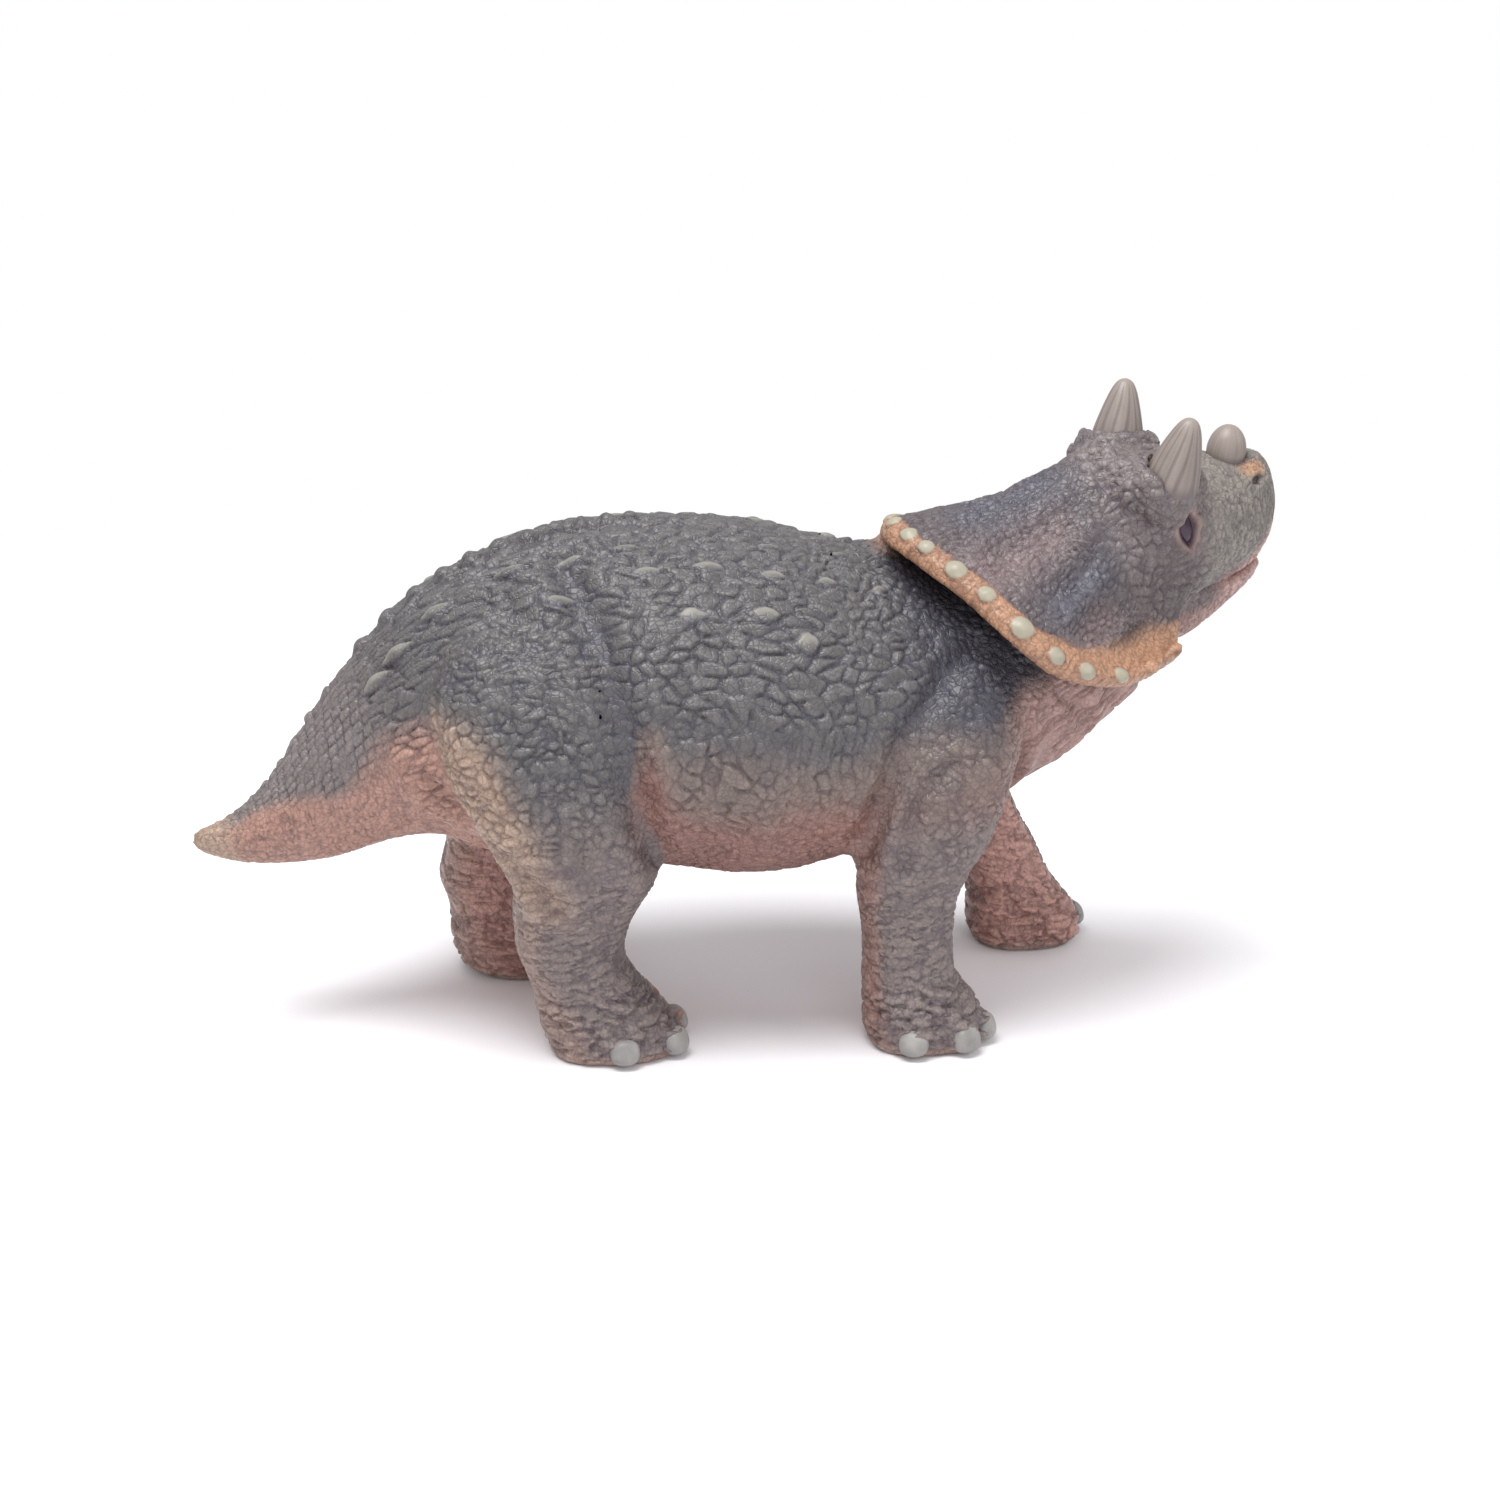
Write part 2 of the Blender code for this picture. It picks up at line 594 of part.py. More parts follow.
def add_leg(name, material, root, side, girth, sections, stride, peg_height_share, nail_turns):
    """One leg with its nails and peg. Returns the pocket and socket that hold it in the trunk."""
    rows = leg_rows(sections, side, stride, girth)
    leg = add_piece(name, leg_mesh(name, rows, side), material, root)
    nails = nail_mesh(name + "_nails", rows, side, nail_turns)
    peg = leg_peg(name + "_peg", rows, side, peg_height_share)
    combine(leg, "UNION", [add_helper(mesh, root) for mesh in (nails, peg)])
    pocket = leg_mesh(name + "_pocket", rows, side, SEAM_GAP)
    socket = leg_peg(name + "_socket", rows, side, peg_height_share, SEAM_GAP)
    return [add_helper(mesh, root) for mesh in (pocket, socket)]


def add_legs(root):
    """Right legs mid-stride under the body, left ones reaching back and forward. Returns the trunk's cutters."""
    near = leg_paint()
    far = far_leg_paint()
    hind = (HIND_LEG_GIRTH, HIND_LEG_SHARES)
    fore = (FORE_LEG_GIRTH, FORE_LEG_SHARES)
    hind_fit = (HIND_PEG_HEIGHT_SHARE, HIND_NAIL_TURNS)
    fore_fit = (FORE_PEG_HEIGHT_SHARE, FORE_NAIL_TURNS)
    return [
        *add_leg("right_hind_leg", near, root, -1, *hind, RIGHT_HIND_STRIDE_SHARES, *hind_fit),
        *add_leg("left_hind_leg", far, root, 1, *hind, LEFT_HIND_STRIDE_SHARES, *hind_fit),
        *add_leg("right_fore_leg", near, root, -1, *fore, RIGHT_FORE_STRIDE_SHARES, *fore_fit),
        *add_leg("left_fore_leg", far, root, 1, *fore, LEFT_FORE_STRIDE_SHARES, *fore_fit),
    ]


def add_tail(root):
    """The tail with its crest and peg. Returns the cutter of the peg's socket in the rump."""
    sections = spine_sections()[0]
    seam = sections[-1]
    start = moved(seam, -CUT_OVERRUN - SEAM_GAP).centre
    length = TAIL_PEG_LENGTH + CUT_OVERRUN
    tail = add_piece("tail", tail_mesh(), tail_paint(), root)
    crest_ends = (CREST_ROW_SHARES[0] * TRUNK_LENGTH, seam.centre.x - CREST_SPACING / 2)
    crest = crest_mesh("tail_crest", sections, crest_ends)
    peg = prism("tail_peg", start, axis_of(seam), length, TAIL_PEG_RADIUS)
    combine(tail, "UNION", [add_helper(mesh, root) for mesh in (crest, peg)])
    socket = prism("tail_socket", start, axis_of(seam), length + SEAM_GAP, TAIL_PEG_RADIUS, SEAM_GAP)
    return [add_helper(socket, root)]


def on_skull(shares, side=1):
    """A place on the skull in the head's own frame, whose origin is between the eyes."""
    along, out, up = shares
    return Vector((along * SKULL_LENGTH, side * out * SKULL_WIDTH / 2, up * SKULL_DEPTH))


def head_matrix():
    """Where the head's frame stands: its neck seam on the trunk's, turned, tilted and rolled."""
    neck = spine_sections()[1][-1]
    tilt_and_roll = Matrix.Rotation(-HEAD_TILT, 4, "Y") @ Matrix.Rotation(HEAD_ROLL, 4, "X")
    turn = Matrix.Rotation(HEAD_TURN, 4, "Z") @ tilt_and_roll
    return Matrix.Translation(neck.centre) @ turn @ Matrix.Translation(-on_skull(NECK_SEAM_PLACE_SHARES))


def skull_mesh():
    """The skull from the back of the head to the beak."""
    rings = []
    for along, top, bottom, width in blend_rows(SKULL_SHARES, STEPS_PER_SPAN - 1):
        centre = Vector((along * SKULL_LENGTH, 0, (top + bottom) / 2 * SKULL_DEPTH))
        half_depth = (top - bottom) / 2 * SKULL_DEPTH
        section = Section(centre, Vector((0, 1, 0)), Vector((0, 0, 1)), width * SKULL_WIDTH / 2, half_depth)
        rings.append(ring_of(section, SKULL_SIDES, turn=math.pi / SKULL_SIDES))
    return loft("head", rings)


def frill_rows():
    """Rim and root of the frill from the right cheek over the top to the left cheek."""
    rows = []
    for (back, out, drop), (root_back, root_out, root_up) in zip(FRILL_RIM_SHARES, FRILL_ROOT_SHARES):
        rows.append((
            -back * FRILL_SWEEP, out * FRILL_SPREAD / 2, FRILL_TOP_SHARE * SKULL_DEPTH - drop * FRILL_DROP,
            -root_back * SKULL_LENGTH, root_out * SKULL_WIDTH / 2, root_up * SKULL_DEPTH,
        ))
    right = [(x, -y, z, root_x, -root_y, root_z) for x, y, z, root_x, root_y, root_z in reversed(rows)]
    return blend_rows(right + rows[1:], STEPS_PER_SPAN)


def frill_frames():
    """At each place round the frill: its root, the way out to the rim, and the way its face looks."""
    rows = frill_rows()
    frames = []
    for index, row in enumerate(rows):
        rim = Vector(row[:3])
        root = Vector(row[3:])
        ahead = Vector(rows[min(index + 1, len(rows) - 1)][:3]) - Vector(rows[max(index - 1, 0)][:3])
        face = ahead.cross(rim - root).normalized()
        frames.append((root, rim - root, face))
    return frames


def frill_mesh():
    """The shield behind the skull, dished between skull and rim and rounded at its edge."""
    rings = []
    for root, breadth, face in frill_frames():
        ring = []
        for out, off in FRILL_PROFILE_SHARES:
            dish = FRILL_SAG * math.sin(math.pi * out) ** 2
            ring.append(root + breadth * out + face * (off * FRILL_THICKNESS / 2 - dish))
        rings.append(ring)
    return loft("frill", rings)


def rim_places():
    """How far along the rim each place round the frill lies, from the right cheek to the left one, in its length."""
    rims = [root + breadth for root, breadth, face in frill_frames()]
    travelled = [0.0]
    for before, after in zip(rims, rims[1:]):
        travelled.append(travelled[-1] + (after - before).length)
    return [each / travelled[-1] for each in travelled]


def stud_mesh():
    """Flat round studs on the face of the frill, just inside its rim."""
    frames = frill_frames()
    travelled = rim_places()
    size = Matrix.Diagonal((STUD_DIAMETER / 2, STUD_DIAMETER / 2, STUD_HEIGHT / 2, 1))
    balls = []
    for along in STUD_PLACE_SHARES:
        for side in (-1, 1):
            wanted = (1 + side * along) / 2
            index = min(next(i for i, each in enumerate(travelled) if each >= wanted), len(frames) - 1)
            t = (wanted - travelled[index - 1]) / (travelled[index] - travelled[index - 1])
            root, breadth, face = (start.lerp(end, t) for start, end in zip(frames[index - 1], frames[index]))
            dish = FRILL_SAG * math.sin(math.pi * STUD_OUT_SHARE) ** 2
            place = root + breadth * STUD_OUT_SHARE + face.normalized() * (FRILL_THICKNESS / 2 - dish)
            outwards = breadth.normalized()
            across = face.cross(outwards).normalized()
            columns = (outwards, across, outwards.cross(across))
            turned = Matrix(columns).transposed().to_4x4()
            balls.append(Matrix.Translation(place) @ turned @ size)
    return spheroids("rim_studs", balls, SMALL_BALL)


def swellings(name, place_shares, size, roundness):
    """A spheroid of this length, width and height on each side of the skull."""
    shape = Matrix.Diagonal((*(length / 2 for length in size), 1))
    balls = [Matrix.Translation(on_skull(place_shares, side)) @ shape for side in (-1, 1)]
    return spheroids(name, balls, roundness)


def brow_mesh():
    """The swelling under each brow horn."""
    along, across, up = BROW_SIZE_SHARES
    size = (along * SKULL_LENGTH, across * SKULL_WIDTH, up * SKULL_DEPTH)
    return swellings("brows", BROW_PLACE_SHARES, size, FINE_BALL)


def eye_mesh():
    """The two moulded eyeballs."""
    size = [share * EYE_LENGTH for share in EYE_SIZE_SHARES]
    return swellings("eyes", EYE_PLACE_SHARES, size, MIDDLE_BALL)


def nostril_mesh():
    """The two hollows of the nostrils."""
    size = [share * EYE_LENGTH for share in NOSTRIL_SIZE_SHARES]
    return swellings("nostrils", NOSTRIL_PLACE_SHARES, size, SMALL_BALL)


def nape_mesh():
    """The neck on the head's side, from just behind the seam, where it is cut back, up into the skull."""
    neck = spine_sections()[1][-1]
    inside = head_matrix() @ on_skull(NAPE_END_PLACE_SHARES)
    across, up = NAPE_END_SIZE_SHARES
    first = moved(neck, -CUT_OVERRUN)
    last = first._replace(centre=inside, half_side=across * SKULL_WIDTH, half_rise=up * SKULL_DEPTH)
    rows = blend_rows([(*s.centre, s.half_side, s.half_rise) for s in (first, last)], STEPS_PER_SPAN)
    sections = [Section(Vector(r[:3]), neck.side, neck.rise, r[3], r[4]) for r in rows]
    return loft("nape", [ring_of(section, NAPE_SIDES) for section in sections])


def neck_plug(name, grow=0.0):
    """The keyed plug that runs from the head back into the neck."""
    seam = spine_sections()[1][-1]
    start = moved(seam, CUT_OVERRUN + SEAM_GAP).centre
    length = NECK_PLUG_LENGTH + CUT_OVERRUN + grow
    return prism(name, start, -axis_of(seam), length, NECK_PLUG_RADIUS, grow)


def horn_matrix(place_shares, lean, side=1):
    """Where a horn's foot stands on the skull and which way the horn points."""
    outwards, forwards = lean
    turn = Matrix.Rotation(forwards, 4, "Y") @ Matrix.Rotation(-side * outwards, 4, "X")
    return Matrix.Translation(on_skull(place_shares, side)) @ turn


def horn_mesh(name, profile, length, diameter, rib_share, grow=0.0):
    """A horn on its sunk foot, with lengthwise ribs as deep as that share of its radius."""
    sides = 3 * HORN_RIBS
    rings = []
    for height, radius in ((-HORN_SINK / length, 1.0), *profile):
        ring = []
        for index in range(sides):
            angle = 2 * math.pi * index / sides
            groove = rib_share * (1 + math.cos(HORN_RIBS * angle)) if height > 0 else 0.0
            reach = radius * (1 - groove) * diameter / 2 + grow
            lift = height * length - (grow if height < 0 else 0.0)
            ring.append(Vector((reach * math.cos(angle), reach * math.sin(angle), lift)))
        rings.append(ring)
    return loft(name, rings)


def horn_peg(name, grow=0.0):
    """The keyed peg under a horn's foot."""
    start = Vector((0, 0, CUT_OVERRUN))
    length = CUT_OVERRUN + HORN_SINK + HORN_PEG_LENGTH
    return prism(name, start, Vector((0, 0, -1)), length, HORN_PEG_RADIUS, grow)


def add_horn(name, material, frame, matrix, profile, length, diameter, rib_share):
    """One horn. Returns the cutters of the recess and socket that hold it in the skull."""
    horn = add_piece(name, horn_mesh(name, profile, length, diameter, rib_share), material, frame)
    peg = add_helper(horn_peg(name + "_peg"), frame)
    recess = add_helper(horn_mesh(name + "_recess", profile, length, diameter, 0, SEAM_GAP), frame)
    socket = add_helper(horn_peg(name + "_socket", SEAM_GAP), frame)
    for each in (horn, peg, recess, socket):
        each.matrix_local = matrix
    combine(horn, "UNION", [peg])
    return [recess, socket]


def add_horns(frame):
    """Two ribbed brow horns and the plain stub on the nose. Returns the skull's cutters."""
    material = horn_paint()
    brow = (HORN_SHARES, BROW_HORN_LENGTH, BROW_HORN_DIAMETER, RIB_DEPTH_SHARE)
    nose = (NOSE_HORN_SHARES, NOSE_HORN_LENGTH, NOSE_HORN_DIAMETER, 0)
    cutters = []
    for name, side in (("right_brow_horn", -1), ("left_brow_horn", 1)):
        matrix = horn_matrix(BROW_HORN_PLACE_SHARES, BROW_HORN_LEAN, side)
        cutters.extend(add_horn(name, material, frame, matrix, *brow))
    matrix = horn_matrix(NOSE_HORN_PLACE_SHARES, NOSE_HORN_LEAN)
    cutters.extend(add_horn("nose_horn", material, frame, matrix, *nose))
    return cutters


def jaw_mesh(name, grow=0.0):
    """The lower jaw under its flat mouth line. A grown one is larger all round."""
    rows = blend_rows(JAW_SHARES, STEPS_PER_SPAN - 1)
    rings = []
    for along, depth, width in rows:
        ends = {rows[0][0]: -grow, rows[-1][0]: grow}
        x = along * JAW_LENGTH + ends.get(along, 0.0)
        ring = []
        for index in range(JAW_SIDES):
            angle = 2 * math.pi * index / JAW_SIDES
            y = (width * JAW_WIDTH / 2 + grow) * math.cos(angle)
            z = (depth * JAW_DEPTH + grow) * math.sin(angle)
            ring.append(Vector((x, y, min(z, grow))))
        rings.append(ring)
    return loft(name, rings)


def jaw_peg(name, grow=0.0):
    """The keyed peg that stands up from the jaw into the skull."""
    start = Vector((JAW_PEG_PLACE_SHARE * JAW_LENGTH, 0, -CUT_OVERRUN))
    return prism(name, start, Vector((0, 0, 1)), JAW_PEG_LENGTH + CUT_OVERRUN, JAW_PEG_RADIUS, grow)


def add_jaw(frame):
    """The lower jaw. Returns the cutters of the pocket and socket that hold it under the skull."""
    matrix = Matrix.Translation(on_skull(JAW_PLACE_SHARES)) @ Matrix.Rotation(-JAW_RISE, 4, "Y")
    jaw = add_piece("lower_jaw", jaw_mesh("lower_jaw"), jaw_paint(), frame)
    peg = add_helper(jaw_peg("jaw_peg"), frame)
    pocket = add_helper(jaw_mesh("jaw_pocket", SEAM_GAP), frame)
    socket = add_helper(jaw_peg("jaw_socket", SEAM_GAP), frame)
    for each in (jaw, peg, pocket, socket):
        each.matrix_local = matrix
    combine(jaw, "UNION", [peg])
    return [pocket, socket]


def add_head(root):
    """The skull with its frill, and what is moulded on it or fitted to it. Returns the trunk's cutters."""
    frame = bpy.data.objects.new("head_frame", None)
    bpy.context.scene.collection.objects.link(frame)
    frame.parent = root
    frame.matrix_local = head_matrix()
    head = add_piece("head", skull_mesh(), head_paint(), frame)
    moulded = [add_helper(mesh, frame) for mesh in (frill_mesh(), brow_mesh(), eye_mesh(), stud_mesh())]
    combine(head, "UNION", [*moulded, add_helper(nape_mesh(), root)])
    clearance = add_helper(trunk_mesh("trunk_clearance", SEAM_GAP), root)
    combine(head, "DIFFERENCE", [clearance, add_helper(nostril_mesh(), frame)])
    combine(head, "UNION", [add_helper(neck_plug("neck_plug"), root)])
    combine(head, "DIFFERENCE", [*add_horns(frame), *add_jaw(frame)])
    return [add_helper(neck_plug("neck_socket", SEAM_GAP), root)]


def stand_on_origin(root):
    """Move the figure so that the origin is on the ground under the middle of its box."""
    bpy.context.view_layer.update()
    graph = bpy.context.evaluated_depsgraph_get()
    corners = []
    for piece in bpy.data.objects:
        if piece.type == "MESH" and not piece.hide_render:
            shaped = piece.evaluated_get(graph)
            mesh = shaped.to_mesh()
            corners.extend(shaped.matrix_world @ vertex.co for vertex in mesh.vertices)
            shaped.to_mesh_clear()
    low = Vector([min(corner[axis] for corner in corners) for axis in range(3)])
    high = Vector([max(corner[axis] for corner in corners) for axis in range(3)])
    root.location = Vector((-(low.x + high.x) / 2, -(low.y + high.y) / 2, -low.z))


def main():
    """Build the figure."""
    clear_scene()
    root = bpy.data.objects.new("figure", None)
    bpy.context.scene.collection.objects.link(root)
    trunk = add_trunk(root)
    combine(trunk, "DIFFERENCE", [*add_legs(root), *add_tail(root), *add_head(root)])
    stand_on_origin(root)
    bpy.context.view_layer.update()


main()
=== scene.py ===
"""Looks of a toy three-horned dinosaur figure: one moulded skin with scales, wrinkles and matt hand paint.

The tables are in millimetres, in the figure's own frame: +X towards the head, +Y to its left and +Z up.
"""
import logging
import math
from dataclasses import dataclass, field
from enum import Enum

import bmesh
import bpy
import numpy as np
from mathutils import Matrix, Vector
from mathutils.bvhtree import BVHTree


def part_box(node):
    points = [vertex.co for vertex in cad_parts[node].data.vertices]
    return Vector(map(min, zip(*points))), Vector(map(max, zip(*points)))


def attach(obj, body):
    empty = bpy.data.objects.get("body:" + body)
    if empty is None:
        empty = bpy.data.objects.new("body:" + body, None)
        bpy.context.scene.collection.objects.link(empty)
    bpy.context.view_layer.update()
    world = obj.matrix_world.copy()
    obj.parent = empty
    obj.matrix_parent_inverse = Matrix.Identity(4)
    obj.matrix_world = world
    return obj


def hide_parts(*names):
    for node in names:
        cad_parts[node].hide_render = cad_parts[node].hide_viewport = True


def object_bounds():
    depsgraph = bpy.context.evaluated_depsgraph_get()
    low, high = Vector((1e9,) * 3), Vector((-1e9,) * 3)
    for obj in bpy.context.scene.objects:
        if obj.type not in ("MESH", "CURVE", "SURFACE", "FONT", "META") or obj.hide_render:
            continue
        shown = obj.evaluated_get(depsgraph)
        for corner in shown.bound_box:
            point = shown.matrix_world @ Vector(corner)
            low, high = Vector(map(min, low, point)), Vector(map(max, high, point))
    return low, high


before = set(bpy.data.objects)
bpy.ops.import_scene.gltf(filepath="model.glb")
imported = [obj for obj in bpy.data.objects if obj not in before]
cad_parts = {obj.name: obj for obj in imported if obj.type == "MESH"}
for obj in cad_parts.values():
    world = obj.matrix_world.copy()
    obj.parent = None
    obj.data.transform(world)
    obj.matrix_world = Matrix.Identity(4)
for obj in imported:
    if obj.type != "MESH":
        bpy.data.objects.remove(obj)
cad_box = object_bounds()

log = logging.getLogger("figure")
MM = 0.001
Array = np.ndarray
CHUNK = 40000       # points measured at a time
LEAST_SHARE = 0.002     # below this, a vertex counts as untouched
FAR = 99.0      # a distance beyond everything


class Piece(Enum):
    """The cast pieces that share the moulded skin, numbered for the faces that belong to them."""

    trunk = 0
    tail = 1
    right_hind_leg = 2
    left_hind_leg = 3
    right_fore_leg = 4
    left_fore_leg = 5
    head = 6
    lower_jaw = 7


class Part(Enum):
    """The skin's shown parts: the CAD node that each replaces, its slot, and its number on that node."""

    trunk_rump = ("trunk", "hide", 1)
    trunk_back = ("trunk", "hide", 2)
    trunk_front = ("trunk", "hide", 3)
    trunk_belly = ("trunk", "hide", 4)
    tail_skin = ("tail", "tail", 1)
    right_hind_leg_skin = ("right_hind_leg", "near_leg", 1)
    left_hind_leg_skin = ("left_hind_leg", "far_leg", 1)
    right_fore_leg_skin = ("right_fore_leg", "near_leg", 1)
    left_fore_leg_skin = ("left_fore_leg", "far_leg", 1)
    skull_skin = ("head", "head", 1)
    frill_skin = ("head", "head", 2)
    lower_jaw_skin = ("lower_jaw", "jaw", 1)


LEGS = (Piece.right_hind_leg, Piece.left_hind_leg, Piece.right_fore_leg, Piece.left_fore_leg)


def smoothstep(low: float, high: float, values: Array) -> Array:
    """0 below low, 1 above high and a smooth rise between; low above high gives a fall."""
    t = np.clip((values - low) / (high - low), 0.0, 1.0)
    return t * t * (3.0 - 2.0 * t)


def linear(colour: tuple) -> Array:
    """A display colour from 0 to 255 as linear light."""
    value = np.asarray(colour, float) / 255.0
    return np.where(value <= 0.04045, value / 12.92, ((value + 0.055) / 1.055) ** 2.4)


def bell(values: Array, middle: float | Array, width: float) -> Array:
    """1 where the values are at the middle, and a soft fall to 0 within about twice the width."""
    return np.exp(-(((values - middle) / width) ** 2))


def moved(points: Array, matrix: Matrix) -> Array:
    """The points, moved by the matrix."""
    full = np.array(matrix, float)
    return points @ full[:3, :3].T + full[:3, 3]


class Noise:
    """Repeatable noise on points, from hashed lattice cells."""

    @staticmethod
    def chance(cells: Array, seed: int) -> Array:
        """A number from 0 to 1 for each row of whole numbers.

        Args:
            cells: whole numbers, one row for each cell.
            seed: picks another set of numbers.

        Returns:
            One number for each row.
        """
        total = np.full(cells.shape[:-1], np.uint32(seed * 2654435761 % 2**32), np.uint32)
        for axis, prime in zip(range(cells.shape[-1]), (73856093, 19349663, 83492791)):
            total ^= (cells[..., axis].astype(np.int64) * prime).astype(np.uint32)
            total *= np.uint32(2246822519)
            total ^= total >> np.uint32(13)
        total *= np.uint32(3266489917)
        total ^= total >> np.uint32(16)
        return total.astype(np.float64) / 2.0**32

    @staticmethod
    def smooth(points: Array, size: float, seed: int) -> Array:
        """Soft noise from -1 to 1 with lumps of about this size.

        Args:
            points: places in millimetres, one row each.
            size: distance between lattice points.
            seed: picks another pattern.

        Returns:
            One value for each point.
        """
        scaled = points / size
        base = np.floor(scaled).astype(np.int64)
        t = scaled - base
        t = t * t * (3.0 - 2.0 * t)
        total = np.zeros(len(points))
        for corner in np.ndindex(*(2,) * points.shape[1]):
            weight = np.ones(len(points))
            for axis, step in enumerate(corner):
                weight *= t[:, axis] if step else 1.0 - t[:, axis]
            total += weight * Noise.chance(base + np.array(corner), seed)
        return 2.0 * total - 1.0

    @staticmethod
    def layered(points: Array, size: float, seed: int, layers: int = 3) -> Array:
        """Soft noise with finer and weaker layers added.

        Args:
            points: places in millimetres, one row each.
            size: size of the largest lumps.
            seed: picks another pattern.
            layers: how many sizes are added, each half the last.

        Returns:
            One value for each point, mostly within -1 to 1.
        """
        total = np.zeros(len(points))
        for layer in range(layers):
            total += Noise.smooth(points, size / 2**layer, seed + layer) / 2**layer
        return total / 1.5

    @staticmethod
    def cells(points: Array, seed: int, jitter: float, stagger: bool, power: float) -> tuple:
        """Nearest and second nearest cell middle in a lattice of unit cells.

        Args:
            points: places in cell units, one row of two or three numbers each.
            seed: picks another pattern.
            jitter: how far each middle strays from its cell's centre.
            stagger: whether every other row is shifted by half a cell, as bricks are.
            power: 2 gives round distances, more gives squarer cells.

        Returns:
            For each point the distance to the cell's border, a chance number of the cell, and how far the
            point is towards the side that the cell leans to.
        """
        width = points.shape[1]
        base = np.floor(points).astype(np.int64)
        first = np.full(len(points), 9.0)
        second = np.full(len(points), 9.0)
        own_cell, own_centre = base.copy(), np.zeros(points.shape)
        for offset in np.ndindex(*(3,) * width):
            cell = base + np.array(offset) - 1
            centre = cell + 0.5
            for axis in range(width):
                centre[:, axis] += jitter * (Noise.chance(cell, seed + 11 * axis) - 0.5)
            if stagger:
                centre[:, 0] += 0.5 * (cell[:, 1] % 2) - 0.25
            away = np.abs(points - centre)
            distance = (away**power).sum(1) ** (1.0 / power)
            nearer = distance < first
            second = np.where(nearer, first, np.minimum(second, distance))
            own_cell[nearer], own_centre[nearer] = cell[nearer], centre[nearer]
            first = np.where(nearer, distance, first)
        sway = [2.0 * Noise.chance(own_cell, seed + 90 + axis) - 1.0 for axis in range(width)]
        lean = sum((points[:, axis] - own_centre[:, axis]) * sway[axis] for axis in range(width))
        return second - first, Noise.chance(own_cell, seed + 77), lean


@dataclass
class Spine:
    """The curve that tail, trunk and neck follow, with a frame at each place on it."""

    rows: tuple = (
        # x, y, z, slope, half depth, half width
        (-57.3, -2.1, 21.3, -10.0, 1.2, 1.0),
        (-54.2, -1.5, 21.0, 12.0, 2.4, 2.3),
        (-50.6, -1.0, 21.6, 24.0, 3.7, 3.6),
        (-46.5, -0.5, 23.2, 34.0, 5.4, 5.3),
        (-41.9, -0.1, 26.4, 36.0, 7.5, 7.3),
        (-36.5, 0.0, 30.1, 27.0, 10.4, 10.3),
        (-31.3, 0.0, 32.3, 16.0, 13.8, 14.0),
        (-25.0, 0.0, 34.3, 8.0, 16.0, 17.2),
        (-17.0, 0.0, 35.2, 2.0, 17.4, 19.5),
        (-8.0, 0.0, 35.1, 0.0, 18.0, 20.6),
        (1.0, 0.0, 34.0, -3.0, 18.0, 21.0),
        (10.0, 0.0, 34.0, 2.0, 16.0, 19.0),
        (18.0, 0.0, 35.4, 12.0, 14.4, 15.6),
        (24.5, 0.0, 36.8, 25.0, 12.7, 13.0),
        (30.0, 0.0, 39.4, 35.0, 11.4, 10.8),
        (34.5, 0.0, 42.2, 42.0, 10.4, 9.4),
        (40.0, 1.0, 47.2, 42.0, 9.5, 9.0),
    )
    shift: float = 0.92
    steps: int = 8

    def blended(self) -> Array:
        """The rows with more between them, on smooth curves, shifted to the figure's origin."""
        rows = np.array(self.rows, float)
        rows[:, 0] += self.shift
        return blend_rows(rows, self.steps)

    def coordinates(self, points: Array) -> dict:
        """Where points lie along and round the spine.

        Args:
            points: places in millimetres.

        Returns:
            Arrays: along in millimetres from the tail tip, x of the section's middle, turn in radians from
            the left flank over the back, and girth as the local mean radius.
        """
        rows = self.blended()
        centre = rows[:, :3]
        lean = np.radians(rows[:, 3])
        axis = np.stack([np.cos(lean), np.zeros(len(lean)), np.sin(lean)], 1)
        travelled = np.concatenate([[0.0], np.cumsum(np.linalg.norm(np.diff(centre, axis=0), axis=1))])
        girth = (rows[:, 4] + rows[:, 5]) / 2
        found = {key: np.zeros(len(points)) for key in ("along", "x", "turn", "girth")}
        for start in range(0, len(points), CHUNK):
            part = slice(start, start + CHUNK)
            off = points[part, None, :] - centre[None]
            ahead = np.einsum("pkc,kc->pk", off, axis)
            far = np.linalg.norm(off, axis=2)
            crosses = (ahead[:, :-1] >= 0) & (ahead[:, 1:] < 0)
            score = np.where(crosses, far[:, :-1], 1e6)
            pick = np.argmin(score, 1)
            none = ~crosses.any(1)
            pick = np.where(none & (ahead[:, 0] < 0), 0, pick)
            pick = np.where(none & (ahead[:, 0] >= 0), len(rows) - 2, pick)
            every = np.arange(len(pick))
            a = ahead[every, pick]
            b = ahead[every, pick + 1]
            t = np.where(none, a / (travelled[pick + 1] - travelled[pick]), a / np.maximum(a - b, 1e-9))
            inside = np.clip(t, 0.0, 1.0)
            place = centre[pick] + (centre[pick + 1] - centre[pick]) * inside[:, None]
            tilt = lean[pick] + (lean[pick + 1] - lean[pick]) * inside
            rel = points[part] - place
            up = -np.sin(tilt) * rel[:, 0] + np.cos(tilt) * rel[:, 2]
            found["along"][part] = travelled[pick] + (travelled[pick + 1] - travelled[pick]) * t
            found["x"][part] = place[:, 0]
            found["turn"][part] = np.arctan2(up, rel[:, 1])
            found["girth"][part] = girth[pick] + (girth[pick + 1] - girth[pick]) * inside
        return found


